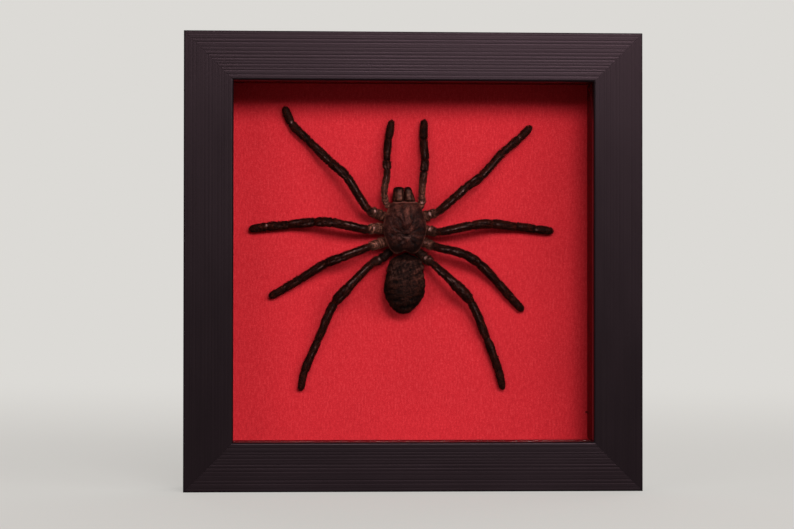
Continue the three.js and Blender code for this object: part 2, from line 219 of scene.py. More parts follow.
# %% [markdown]
# ## Light, floor and background
# The box is deep, so its lip throws a soft shadow on the red paper, and that shadow's shape tells where
# the light is: a soft lamp in front, about 21 degrees up and a little to the right, with a weaker and
# wider one on each side, a little lower. Each lamp is an area light that points at the frame. The pane is
# clear, so lamps shine straight through it, and the light that the paper throws back passes it unseen.
# The camera sees a pale backdrop, while everything else gets only a weak fill from the room. The floor is
# pale too, and fades into the backdrop with distance, so that no horizon shows. It takes shadows but
# throws no light back, so the shadow inside the box stays deep. One more lamp lights the frame's back.

# %% Lamps
CENTRE = np.array([0, 0, 95]) * MM
BACKDROP = "#dcdad6"
# Each lamp: its azimuth and elevation in degrees, distance in m, width and height in degrees, power in W.
LAMPS = {"key": (7.5, 21.4, 2.6, 16, 15, 35), "right side": (36.5, 16, 2.6, 36, 12, 26),
         "left side": (-31, 17, 2.6, 24, 12, 12.5), "back": (168, 24, 1.8, 60, 40, 15)}


def lamp(name, azimuth, elevation, distance, wide, high, power):
    """An area light that faces the frame, wide by high degrees as seen from it. Azimuth 0 is straight in
    front, and it turns towards +X."""
    a, e = np.radians([azimuth, elevation])
    back = np.array([np.sin(a) * np.cos(e), -np.cos(a) * np.cos(e), np.sin(e)])
    side = np.cross([0.0, 0.0, 1.0], back)
    side /= np.linalg.norm(side)
    data = bpy.data.lights.new(name, "AREA")
    data.shape = "RECTANGLE"
    data.size, data.size_y = 2 * distance * np.tan(np.radians([wide / 2, high / 2]))
    data.energy = power
    obj = bpy.data.objects.new(name, data)
    bpy.context.scene.collection.objects.link(obj)
    turn = np.eye(4)
    turn[:3] = np.stack([side, np.cross(back, side), back, CENTRE + back * distance], axis=-1)
    obj.matrix_world = Matrix(turn.tolist())
    obj.visible_transmission = False


for name, numbers in LAMPS.items():
    lamp(name, *numbers)

world = bpy.data.worlds.new("room")
bpy.context.scene.world = world
world.use_nodes = True
room = world.node_tree
room.nodes.clear()
seen = add(room, "Background", {"Color": linear(BACKDROP), "Strength": 1.0})
fill = add(room, "Background", {"Color": linear("#fff2ea"), "Strength": 0.165})
path = add(room, "LightPath")
choice = add(room, "MixShader", {0: path.outputs["Is Camera Ray"], 1: fill.outputs[0], 2: seen.outputs[0]})
add(room, "OutputWorld", {"Surface": choice.outputs[0]})
world.cycles_visibility.transmission = False
world.cycles_visibility.glossy = False
bpy.context.scene.view_settings.view_transform = "Standard"
bpy.context.scene.view_settings.look = "None"
print("lamps", list(LAMPS))

# %% Floor
floor_mesh = bpy.data.meshes.new("floor")
REACH = 4  # metres each way
corners = [(-REACH, -REACH, 0), (REACH, -REACH, 0), (REACH, REACH, 0), (-REACH, REACH, 0)]
floor_mesh.from_pydata(corners, [], [(0, 1, 2, 3)])
floor = bpy.data.objects.new("floor", floor_mesh)
bpy.context.scene.collection.objects.link(floor)
matt_paint, tree, shader = new_material("pale matt paint")
plug(tree, shader, {"Base Color": linear("#d8d5d0"), "Roughness": 0.9})
spot = add(tree, "TexCoord").outputs["Object"]
away = add(tree, "VectorMath", {0: spot}, operation="LENGTH")
fade = add(tree, "MapRange", {"Value": away.outputs["Value"], "From Min": 0.1, "From Max": 1.8,
                              "To Min": 0.6, "To Max": 1.0}, interpolation_type="SMOOTHSTEP")
path = add(tree, "LightPath")
share = add(tree, "Math", {0: fade.outputs["Result"], 1: path.outputs["Is Camera Ray"]},
            operation="MULTIPLY")
glow = add(tree, "Emission", {"Color": linear(BACKDROP), "Strength": 1.0})
mixed = add(tree, "MixShader", {0: share.outputs[0], 1: shader.outputs["BSDF"], 2: glow.outputs[0]})
output = next(node for node in tree.nodes if node.type == "OUTPUT_MATERIAL")
tree.links.new(mixed.outputs[0], output.inputs["Surface"])
floor_mesh.materials.append(matt_paint)
floor.visible_glossy = False
floor.visible_transmission = False
floor.visible_diffuse = False
print(floor.name, "reaches", REACH, "m each way")

# %% [markdown]
# ## The moulding's plastic
# The rails are extruded polystyrene with a black-brown satin skin. The die leaves hair-fine lines along
# the length, so the gloss breaks up across a rail and runs unbroken along it. The rails carry a UV map in
# millimetres, along and across, and the fine lines follow it: noise squeezed to 0.4 mm across and drawn
# out to 80 mm along. Broader patches, 12 mm by 30 mm, vary the gloss. Lines too fine to draw still spread
# the gloss across the rail, which the shader's anisotropy stands for.

# %% Satin plum-black polystyrene
satin_moulding, tree, shader = new_material("satin plum-black polystyrene")
surface = add(tree, "UVMap", uv_map="surface_mm").outputs["UV"]
drawn = add(tree, "Mapping", {"Vector": surface, "Scale": (0.012, 2.6, 1.0)})
die_lines = add(tree, "TexNoise", {"Vector": drawn.outputs[0], "Scale": 1.0, "Detail": 3.0,
                                   "Roughness": 0.6})
blotch = add(tree, "Mapping", {"Vector": surface, "Scale": (0.03, 0.08, 1.0)})
patches = add(tree, "TexNoise", {"Vector": blotch.outputs[0], "Scale": 1.0, "Detail": 2.0})
tone = add(tree, "ValToRGB", {"Fac": die_lines.outputs["Fac"]}, stops=((0.3, "#120d0f"), (0.7, "#191315")))
gloss = add(tree, "MapRange", {"Value": patches.outputs["Fac"], "From Min": 0.3, "From Max": 0.7,
                               "To Min": 0.31, "To Max": 0.35})
along = add(tree, "Tangent", direction_type="UV_MAP", uv_map="surface_mm")
line_bump = add(tree, "Bump", {"Height": die_lines.outputs["Fac"], "Strength": 0.5, "Distance": 0.03 * MM})
plug(tree, shader, {"Base Color": tone.outputs["Color"], "Roughness": gloss.outputs["Result"],
                    "Normal": line_bump.outputs["Normal"], "Tangent": along.outputs["Tangent"],
                    "Anisotropic": 0.3, "Anisotropic Rotation": 0.25,
                    "Specular Tint": linear("#ffcfe0"), "Specular IOR Level": 0.19})
print(satin_moulding.name, len(tree.nodes), "nodes")

# %% [markdown]
# ## Rails
# A rail is one length of moulding, sawn at 45 degrees at both ends. Its face is fluted: about a dozen
# shallow grooves, unevenly spaced, run along it. A profile carried along a line is the natural way to
# make that. The profile is drawn once, across the rail, with the flutes as soft dips, and the line is cut
# shorter the further in it lies, which makes the mitre. The flutes' depth drifts slowly along the rail,
# as it does on a moulding that has been pulled through a worn die.

# %% Moulding profile
FRAME_SIDE, FACE_WIDTH, WALL_WIDTH = 190, 20.5, 13.9
FRONT_Y, LIP_BACK_Y, BACK_Y = -19.0, -14.5, 19.0
OUTER_ROUND, SIGHT_ROUND_WIDE, SIGHT_ROUND_DEEP = 0.6, 1.0, 1.2
MITRE_GAP = 0.03
FLUTING = 0.2  # how much of each flute's depth the satin skin leaves open
# Each flute is (distance in from the outer edge, width, depth).
FLUTES = [(1.5, 0.9, 0.05), (3.4, 0.9, 0.1), (4.85, 0.9, 0.11), (6.8, 0.8, 0.06), (8.4, 0.9, 0.09),
          (9.9, 1.0, 0.12), (11.35, 1.0, 0.12), (12.6, 0.7, 0.05), (13.75, 0.9, 0.1), (15.25, 0.9, 0.1),
          (16.35, 0.8, 0.11), (18.15, 0.9, 0.1)]


def flute_depth(u):
    """How far the face lies back at u: the sum of one cosine-shaped dip for each flute."""
    u = u[:, None]
    centre, width, depth = np.array(FLUTES).T
    reach = np.clip(np.abs(u - centre) / (width / 2), 0, 1)
    return FLUTING * (depth * (0.5 + 0.5 * np.cos(np.pi * reach))).sum(axis=1)


def profile():
    """The closed section as (u, y, fluting): the outer wall, a small round, the face, a round into the
    sight edge, the lip's back and the rabbet."""
    quarter = np.linspace(0, np.pi / 2, 7)
    outer = np.stack([OUTER_ROUND * (1 - np.cos(quarter)),
                      FRONT_Y + OUTER_ROUND * (1 - np.sin(quarter))], axis=-1)
    u = np.linspace(OUTER_ROUND, FACE_WIDTH - SIGHT_ROUND_WIDE, 250)[1:]
    face = np.stack([u, np.full(len(u), FRONT_Y)], axis=-1)
    turn = np.linspace(0, np.pi / 2, 9)[1:]
    inner = np.stack([FACE_WIDTH - SIGHT_ROUND_WIDE * (1 - np.sin(turn)),
                      FRONT_Y + SIGHT_ROUND_DEEP * (1 - np.cos(turn))], axis=-1)
    wall_up = np.stack([np.zeros(5), np.linspace(BACK_Y, FRONT_Y + OUTER_ROUND, 6)[:-1]], axis=-1)
    rest = np.array([[FACE_WIDTH, LIP_BACK_Y], [WALL_WIDTH, LIP_BACK_Y], [WALL_WIDTH, 0],
                     [WALL_WIDTH, BACK_Y]])
    loop = np.vstack([wall_up, outer, face, inner, rest])
    fluting = np.zeros(len(loop))
    on_face = slice(len(wall_up) + len(outer), len(wall_up) + len(outer) + len(face))
    fluting[on_face] = flute_depth(loop[on_face, 0])
    return loop, fluting


section, fluting = profile()
print("profile of", len(section), "corners, deepest flute", fluting.max().round(3), "mm")

# %% Rails
STATIONS = 36
FLUTE_DRIFT, DRIFT_LENGTHS = 0.12, (11.0, 29.0)
UV_STEP = 400  # keeps the four rails' patterns apart
SHARP_ANGLE = np.radians(35)


def rail(side, turn, rng):
    """A bottom rail turned by turn quarters about the frame's middle.
    Along it x = t (half side - u), so that the ends are mitred; y and z come from the section."""
    t = np.linspace(-1, 1, STATIONS)[:, None]
    half = FRAME_SIDE / 2 - section[:, 0] - MITRE_GAP
    x = t * half
    drift = sum(np.sin(x / length + phase) for length, phase in zip(DRIFT_LENGTHS, rng.uniform(0, 6.28, 2)))
    y = section[:, 1] + fluting * (1 + FLUTE_DRIFT * drift)
    z = np.broadcast_to(section[:, 0] - FRAME_SIDE / 2, x.shape)
    c, s = np.round(np.cos(turn * np.pi / 2)), np.round(np.sin(turn * np.pi / 2))
    points = np.stack([c * x + s * z, y, -s * x + c * z + FRAME_SIDE / 2], axis=-1)
    n = len(section)
    ring = np.arange(STATIONS * n).reshape(STATIONS, n)
    turned = np.roll(ring, -1, axis=1)
    quads = np.stack([ring[:-1], turned[:-1], turned[1:], ring[1:]], axis=-1).reshape(-1, 4)
    ends = [ring[0][None, ::-1], ring[-1][None, :]]
    step = np.linalg.norm(np.diff(section, axis=0, prepend=section[:1]), axis=1)
    across = np.broadcast_to(np.cumsum(step), x.shape)
    uv = np.stack([x + UV_STEP * turn, across], axis=-1).reshape(-1, 2)
    flat = points.reshape(-1, 3)
    obj = piece(f"rail_{side}_moulding", flat, [quads, *ends], f"rail_{side}", satin_moulding,
                uv=uv)
    obj.data.set_sharp_from_angle(angle=SHARP_ANGLE)
    return obj


rng = np.random.default_rng(11)
rails = [rail(side, turn, rng) for turn, side in enumerate(["bottom", "left", "top", "right"])]
print("rails", [len(r.data.polygons) for r in rails])

# %% [markdown]
# ## Red paper on the panel and the inner walls
# The ground is mount board faced with dyed paper. Such paper has a faint upright grain from the mill,
# small pale flecks where fibres took less dye, and a matt surface with almost no gloss. The grain is
# noise 0.7 mm wide and 2.5 mm tall, and the flecks are 0.7 mm apart. The inner walls wear the same paper
# in a deeper red, so they throw little light back on the panel.


# %% Fine-textured papers
def dyed_paper(name, dark, middle, light, gloss, dark_speck):
    """Mill paper dyed in the mass, in three tones that its grain and flecks mix. The last argument places a
    small dark egg-shaped speck: where it is and how far it reaches along x, y and z, in mm."""
    material, tree, shader = new_material(name)
    spot = add(tree, "TexCoord").outputs["Object"]
    upright = add(tree, "Mapping", {"Vector": spot,
                                    "Scale": (1 / (0.7 * MM), 1 / (0.7 * MM), 1 / (2.5 * MM))})
    grain = add(tree, "TexNoise", {"Vector": upright.outputs[0], "Scale": 1.0, "Detail": 3.0})
    fleck = add(tree, "TexNoise", {"Vector": spot, "Scale": 1 / (0.7 * MM), "Detail": 2.0})
    broad = add(tree, "TexNoise", {"Vector": spot, "Scale": 1 / (30 * MM), "Detail": 2.0})
    both = add(tree, "Mix", {"Factor": 0.5, 2: grain.outputs["Fac"], 3: fleck.outputs["Fac"]})
    tone = add(tree, "ValToRGB", {"Fac": both.outputs[0]},
               stops=((0.32, dark), (0.5, middle), (0.68, light)))
    drift = add(tree, "MapRange", {"Value": broad.outputs["Fac"], "From Min": 0.3, "From Max": 0.7,
                                   "To Min": 0.96, "To Max": 1.03})
    centre, reach = np.array(dark_speck) * MM
    from_mark = add(tree, "Mapping", {"Vector": spot, "Scale": 1 / reach, "Location": -centre / reach})
    distance = add(tree, "VectorMath", {0: from_mark.outputs[0]}, operation="LENGTH")
    mark = add(tree, "MapRange", {"Value": distance.outputs["Value"], "From Min": 0.5, "From Max": 1.1,
                                  "To Min": 0.15, "To Max": 1.0})
    value = add(tree, "Math", {0: drift.outputs["Result"], 1: mark.outputs["Result"]}, operation="MULTIPLY")
    dyed = add(tree, "HueSaturation", {"Color": tone.outputs["Color"], "Value": value.outputs[0]})
    tooth = add(tree, "Bump", {"Height": both.outputs[0], "Strength": 0.4, "Distance": 0.05 * MM})
    plug(tree, shader, {"Base Color": dyed.outputs["Color"], "Normal": tooth.outputs["Normal"],
                        "Roughness": 0.92, "Specular IOR Level": gloss})
    return material


red_paper = dyed_paper(
    "fine-textured red paper on mount board", "#c71f29", "#d52731", "#e1373f", gloss=0.2,
    dark_speck=((75.4, 12, 31.5), (0.6, 1, 0.6)))
deep_red_paper = dyed_paper(
    "deep red paper on foam board", "#64141a", "#6d171d", "#771c22", gloss=0.02,
    dark_speck=((75.7, 9.5, 31.3), (1, 3, 0.7)))
refinish("panel", red_paper)
print("papers:", red_paper.name, "and", deep_red_paper.name)

# %% [markdown]
# ## Linings
# Strips of paper-faced foam board stand round the inside and hold the pane off the panel. The paper is
# folded over their long edges, so these are round, and a thin dark line shows where a strip meets the
# panel. A rounded rectangle carried along the strip gives that edge; the ends are drawn in by the same
# small radius.

# %% Linings
LINING_FRONT, LINING_BACK = -11.9, 11.7
LINING_INNER, LINING_OUTER = 75.7, 80.8
BOTTOM_RISE = 0.6  # the bottom strip stands this much further in
CORNER_GAP = 0.3  # the side strips end this far short of the other two
EDGE_ROUND = 0.7


def rounded_bar(half_length, half_depth, half_height, radius, rings=24):
    """A bar along x. Its section is a rectangle with round corners: a corner of the core, plus the radius
    turned through a quarter. Towards the ends that radius shrinks as a quarter circle does."""
    corner = np.linspace(0, np.pi / 2, 5)
    angle = np.concatenate([corner + k * np.pi / 2 for k in range(4)])
    sign_y = np.repeat([1, -1, -1, 1], 5)
    sign_z = np.repeat([1, 1, -1, -1], 5)
    core_y, core_z = sign_y * (half_depth - radius), sign_z * (half_height - radius)
    end = 1 - np.cos(np.linspace(0, np.pi / 2, 5))
    middle = np.linspace(-half_length + radius, half_length - radius, rings)[1:-1]
    x = np.concatenate([-half_length + radius * end, middle, half_length - radius * end[::-1]])
    near = np.clip((half_length - np.abs(x)) / radius, 0.03, 1)  # the very ends stay open to close as caps
    swell = np.sqrt(1 - (1 - near) ** 2)[:, None] * radius
    y = core_y + swell * np.cos(angle)
    z = core_z + swell * np.sin(angle)
    return np.stack([np.broadcast_to(x[:, None], y.shape), y, z], axis=-1)


def lining(side, left, low, right, high):
    """A strip between two x and two z values. It is made lying along x, and a side one is then stood up."""
    wide, tall = right - left, high - low
    upright = tall > wide
    half_length, half_height = max(wide, tall) / 2, min(wide, tall) / 2
    grid = rounded_bar(half_length, (LINING_BACK - LINING_FRONT) / 2, half_height, EDGE_ROUND)
    x, y, z = np.moveaxis(grid, -1, 0)
    if upright:
        x, z = z, -x
    middle = ((left + right) / 2, (LINING_BACK + LINING_FRONT) / 2, (low + high) / 2)
    placed = np.stack([x, y, z], axis=-1) + middle
    faces = tube_faces(*grid.shape[:2])
    return piece(f"lining_{side}_strip", with_poles(placed), faces, f"lining_{side}",
                 deep_red_paper)


middle_z = FRAME_SIDE / 2
low, high = middle_z - LINING_INNER + BOTTOM_RISE, middle_z + LINING_INNER
for side, box in {"bottom": (-LINING_OUTER, middle_z - LINING_OUTER, LINING_OUTER, low),
                  "top": (-LINING_OUTER, high, LINING_OUTER, middle_z + LINING_OUTER),
                  "left": (-LINING_OUTER, low + CORNER_GAP, -LINING_INNER, high - CORNER_GAP),
                  "right": (LINING_INNER, low + CORNER_GAP, LINING_OUTER, high - CORNER_GAP)}.items():
    strip = lining(side, *box)
    print(strip.name, len(strip.data.polygons))

# %% [markdown]
# ## The pane
# Float glass is flat, smooth and very slightly green. Plain transmission with its real index of
# refraction gives it. The noise only drives the faint smears that a cleaning cloth leaves, far too weak
# to hide anything. The camera sees the pane, while shadow, diffuse and glossy rays pass it, so the lamps
# light the paper at full strength and no lamp is mirrored on the pane's edges.

# %% Clear float glass
float_glass, tree, shader = new_material("clear float glass")
spot = add(tree, "TexCoord").outputs["Object"]
wipes = add(tree, "Mapping", {"Vector": spot, "Rotation": (0.0, 0.6, 0.0),
                              "Scale": (1 / (60 * MM), 1.0, 1 / (9 * MM))})
smear = add(tree, "TexNoise", {"Vector": wipes.outputs[0], "Scale": 1.0, "Detail": 4.0})
haze = add(tree, "MapRange", {"Value": smear.outputs["Fac"], "From Min": 0.5, "From Max": 0.8,
                              "To Min": 0.0, "To Max": 0.004})
plug(tree, shader, {"Base Color": linear("#fbfefd"), "Roughness": haze.outputs["Result"],
                    "Transmission Weight": 1.0, "IOR": 1.5})
refinish("glass", float_glass)
glass = frame["nodes"]["glass"]
glass.visible_shadow = False
glass.visible_diffuse = False
glass.visible_glossy = False
print("pane", [round(v, 4) for v in glass.dimensions])

# %% [markdown]
# ## The back
# The box is closed by thin hardboard: wood fibres pressed hot into a brown sheet, smooth and slightly
# waxy on one side. Flat spring-steel tabs pressed into the rails hold it, and a zinc-plated sawtooth
# strip hangs it.

# %% Hardboard
hardboard, tree, shader = new_material("pressed-fibre hardboard")
spot = add(tree, "TexCoord").outputs["Object"]
fibres = add(tree, "TexNoise", {"Vector": spot, "Scale": 1 / (1.4 * MM),
                                "Detail": 5.0, "Roughness": 0.7, "Distortion": 1.6})
clouds = add(tree, "TexNoise", {"Vector": spot, "Scale": 1 / (22 * MM), "Detail": 3.0})
mixed = add(tree, "Mix", {"Factor": 0.35, 2: fibres.outputs["Fac"], 3: clouds.outputs["Fac"]})
brown = add(tree, "ValToRGB", {"Fac": mixed.outputs[0]},
            stops=((0.34, "#4b2f1c"), (0.5, "#6d4a30"), (0.66, "#8c6746")))
pressed = add(tree, "Bump", {"Height": fibres.outputs["Fac"], "Strength": 0.4, "Distance": 0.08 * MM})
plug(tree, shader, {"Base Color": brown.outputs["Color"], "Normal": pressed.outputs["Normal"],
                    "Roughness": 0.62})
refinish("back_board", hardboard)


# %% Steel
def rolled_metal(name, dark, light, rough, grain_mm):
    """Rolled or plated sheet metal: fine lines along x from the rolls, and faint cloudy staining."""
    material, tree, shader = new_material(name)
    spot = add(tree, "TexCoord").outputs["Object"]
    lines = add(tree, "Mapping", {"Vector": spot,
                                  "Scale": (1 / (6 * MM), 1 / (grain_mm * MM), 1 / (grain_mm * MM))})
    brushed = add(tree, "TexNoise", {"Vector": lines.outputs[0], "Scale": 1.0, "Detail": 3.0})
    stain = add(tree, "TexNoise", {"Vector": spot, "Scale": 1 / (5 * MM), "Detail": 3.0})
    tone = add(tree, "ValToRGB", {"Fac": stain.outputs["Fac"]}, stops=((0.35, dark), (0.65, light)))
    polish = add(tree, "MapRange", {"Value": brushed.outputs["Fac"], "From Min": 0.3, "From Max": 0.7,
                                    "To Min": rough - 0.08, "To Max": rough + 0.08})
    scratch = add(tree, "Bump", {"Height": brushed.outputs["Fac"], "Strength": 0.3, "Distance": 0.02 * MM})
    plug(tree, shader, {"Base Color": tone.outputs["Color"], "Roughness": polish.outputs["Result"],
                        "Normal": scratch.outputs["Normal"], "Metallic": 1.0})
    return material


spring_steel = rolled_metal("rolled spring steel", "#7d8084", "#a8aaac", rough=0.5, grain_mm=0.25)
zinc_plate = rolled_metal("yellow-passivated zinc plate", "#a08d58", "#c3b27c", rough=0.46, grain_mm=0.3)
rivet_steel = rolled_metal("bright steel rivet", "#8d8f91", "#b9babb", rough=0.42, grain_mm=0.4)
finishes = {**{f"back_tab_{i}": spring_steel for i in range(1, 9)},
            "hanger": zinc_plate, "rivet_left": rivet_steel, "rivet_right": rivet_steel}
for node, material in finishes.items():
    refinish(node, material)
print("back finished:", len(finishes) + 1, "nodes")

# %% [markdown]
# ## The spider: how its pieces are made
# A dried tarantula is a hard skin with hair on it. Each limb is a row of tube-like segments, thinner at
# the joints, so it's a tube whose radius is a function of the place along it, bent along a curve through
# its joints. The hair is real geometry: thin three-sided spikes that lie along the skin. Skin and spikes
# share one mesh, and an attribute named zones tells the material where it is: red holds pale joint skin,
# green holds bare stripes, painted pale for their sheen, blue holds lighter brown parts, and alpha is 1 on
# hair.


# %% Curve through the joints
PANEL_Y = 12.0


def joint_curve(joints):
    """A centripetal Catmull-Rom curve through the joints, as two functions of s, the place and the
    direction. s is 0 at the first joint, 1 at the second and so on. Between two joints it is the cubic that
    leaves each with a slope worked out from its neighbours, whose distances count by their square roots."""
    p = np.array([[x, PANEL_Y - height, z] for x, z, height in joints])
    ends = np.vstack([2 * p[0] - p[1], p, 2 * p[-1] - p[-2]])
    d = np.sqrt(np.linalg.norm(np.diff(ends, axis=0), axis=1))[:, None]
    d0, d1, d2 = d[:-2], d[1:-1], d[2:]
    p0, p1, p2, p3 = ends[:-3], ends[1:-2], ends[2:-1], ends[3:]
    m1 = ((p1 - p0) / d0 - (p2 - p0) / (d0 + d1) + (p2 - p1) / d1) * d1
    m2 = ((p2 - p1) / d1 - (p3 - p1) / (d1 + d2) + (p3 - p2) / d2) * d1

    def split(s):
        i = np.clip(s.astype(int), 0, len(p1) - 1)
        return i, (s - i)[:, None]

    def at(s):
        i, w = split(s)
        return ((2 * w**3 - 3 * w**2 + 1) * p1[i] + (w**3 - 2 * w**2 + w) * m1[i]
                + (3 * w**2 - 2 * w**3) * p2[i] + (w**3 - w**2) * m2[i])

    def along(s):
        i, w = split(s)
        slope = ((6 * w**2 - 6 * w) * (p1[i] - p2[i]) + (3 * w**2 - 4 * w + 1) * m1[i]
                 + (3 * w**2 - 2 * w) * m2[i])
        return slope / np.linalg.norm(slope, axis=1, keepdims=True)

    return at, along


print("a bend's middle:", joint_curve([[0, 0, 1], [10, 0, 1], [10, 10, 1]])[0](np.array([1.0])))


# %% Smooth steps and noise
def eased(x, table):
    """Values between the pairs of a table, passed over smoothly: each step is half a cosine wave."""
    knots, values = np.array(table).T
    i = np.clip(np.searchsorted(knots, x) - 1, 0, len(knots) - 2)
    w = np.clip((x - knots[i]) / (knots[i + 1] - knots[i]), 0, 1)
    return values[i] + (values[i + 1] - values[i]) * (0.5 - 0.5 * np.cos(np.pi * w))


def bumps(rng, points, wavelength, waves=14):
    """Smooth random unevenness, about -1 to 1: the mean of sine waves that run in random directions."""
    heading = rng.normal(size=(waves, 3))
    heading *= 2 * np.pi / (wavelength * np.linalg.norm(heading, axis=1, keepdims=True))
    heading *= rng.uniform(0.7, 1.4, (waves, 1))
    sines = np.sin(points @ heading.T + rng.uniform(0, 2 * np.pi, waves))
    return sines.sum(axis=-1) / np.sqrt(waves / 2) / 1.6


def band(x, low, high, soft):
    """1 between low and high, 0 outside, with soft edges."""
    return 1 / (1 + np.exp(-(x - low) / soft)) / (1 + np.exp((x - high) / soft))


print("eased radius halfway:", eased(np.array([0.5]), [[0, 1], [1, 2]]))


# %% Hair
FOOT_DEPTH = 0.03  # how far under the skin a hair starts


def scatter(rng, grid, weight, count):
    """Random roots on a closed grid surface. A cell is drawn by its area times its weight, and the root lies
    at a random place in it. Returns the roots, the outward normals, the directions along the rings' order,
    and the cells drawn."""
    nearby = np.roll(grid, -1, axis=1)
    a, b, c, d = grid[:-1], nearby[:-1], nearby[1:], grid[1:]
    normal = np.cross(c - a, d - b)
    area = np.linalg.norm(normal, axis=-1)
    share = (area * np.clip(weight[:-1], 0, None)).ravel()
    cell = rng.choice(share.size, count, p=share / share.sum())
    v, w = rng.uniform(size=(2, count, 1))
    a, b, c, d, normal = (q.reshape(-1, 3)[cell] for q in (a, b, c, d, normal))
    root = (1 - v) * ((1 - w) * a + w * b) + v * ((1 - w) * d + w * c)
    normal = normal / np.maximum(np.linalg.norm(normal, axis=1, keepdims=True), 1e-9)
    heading = (d - a) + (c - b)
    heading = heading / np.maximum(np.linalg.norm(heading, axis=1, keepdims=True), 1e-9)
    return root, normal, heading, cell


def setae(rng, root, normal, heading, length, width, lift, spread):
    """Thin three-sided spikes with closed feet. Each leans lift radians off the skin towards its heading,
    turned sideways by a random angle of about spread, and starts a little under the skin."""
    n = len(root)
    side = np.cross(normal, heading)
    yaw = rng.normal(0, spread, (n, 1))
    rise = np.clip(lift * (1 + 0.4 * rng.normal(size=(n, 1))), 0.03, 1.5)
    flat = np.cos(yaw) * heading + np.sin(yaw) * side
    axis = np.cos(rise) * flat + np.sin(rise) * normal
    across = np.cross(axis, normal)
    across /= np.maximum(np.linalg.norm(across, axis=1, keepdims=True), 1e-9)
    over = np.cross(across, axis)
    foot = root - FOOT_DEPTH * normal
    tip = foot + axis * (length * rng.uniform(0.7, 1.15, n))[:, None]
    k = np.array([0, 2, 4]) * np.pi / 3
    ring = width / 2 * (np.cos(k)[:, None, None] * across + np.sin(k)[:, None, None] * over)
    points = np.stack([foot + ring[0], foot + ring[1], foot + ring[2], tip], axis=1).reshape(-1, 3)
    faces = np.array([[0, 1, 3], [1, 2, 3], [2, 0, 3], [2, 1, 0]])
    if signed_volume(points[:4], [faces]) < 0:
        faces = faces[:, ::-1]
    return points, (np.arange(n)[:, None, None] * 4 + faces).reshape(-1, 3)


one_hair = setae(np.random.default_rng(0), *np.eye(3)[:, None], length=1.0, width=0.1, lift=0.3, spread=0.3)
print("one hair has", len(one_hair[0]), "corners and", len(one_hair[1]), "faces")


# %% Coats of hair
def coat(rng, grid, zones, cover, count, inside, length, width, lift, spread, tint, shades, towards=1):
    """Hairs for a closed grid surface as (points, faces, zones). inside is a point that the skin faces away
    from, or one for each cell; length is a number of mm or a function of the cells drawn. A hair takes a
    share, tint, of the zones under it, and its shade times a random strength that varies by shades.
    It points along the rings' order, or against it where towards is -1."""
    root, normal, heading, cell = scatter(rng, grid, cover, count)
    core = inside[cell] if np.ndim(inside) == 2 else inside
    normal = normal * np.sign(np.einsum("ij,ij->i", normal, root - core))[:, None]
    if callable(length):
        length = length(cell)
    points, faces = setae(rng, root, normal, towards * heading, length, width, lift, spread)
    here = zones[:-1].reshape(-1, 5)[cell]
    shade = here[:, 4:] * np.exp(rng.normal(0, shades, (count, 1)))
    hair = rng.uniform(0.7, 1, (count, 1))
    return points, faces, np.concatenate([here[:, :3] * tint, hair, shade], axis=1).repeat(4, axis=0)


def haired_piece(name, slot, material, grid, zones, *loose):
    """A node's piece: a closed grid as its skin, and loose parts such as hairs as (points, faces, zones)."""
    starts = np.cumsum([0] + [len(points) for points, _, _ in loose])
    points = np.vstack([part[0] for part in loose])
    faces = np.vstack([part[1] + start for part, start in zip(loose, starts)])
    zones = np.vstack([with_poles(zones), *(part[2] for part in loose)])
    return piece(f"{name}_haired", with_poles(grid), tube_faces(*grid.shape[:2]), name, material,
                 zones=zones, loose=(points, faces))


test_bar = rounded_bar(5, 2, 2, 1)
test_coat = coat(np.random.default_rng(0), test_bar, np.ones((*test_bar.shape[:2], 5)),
                 np.ones(test_bar.shape[:2]), 10, np.zeros(3), length=1.0, width=0.1, lift=0.3, spread=0.3,
                 tint=1.0, shades=0.1)
print("ten hairs on a test bar:", [part.shape for part in test_coat])
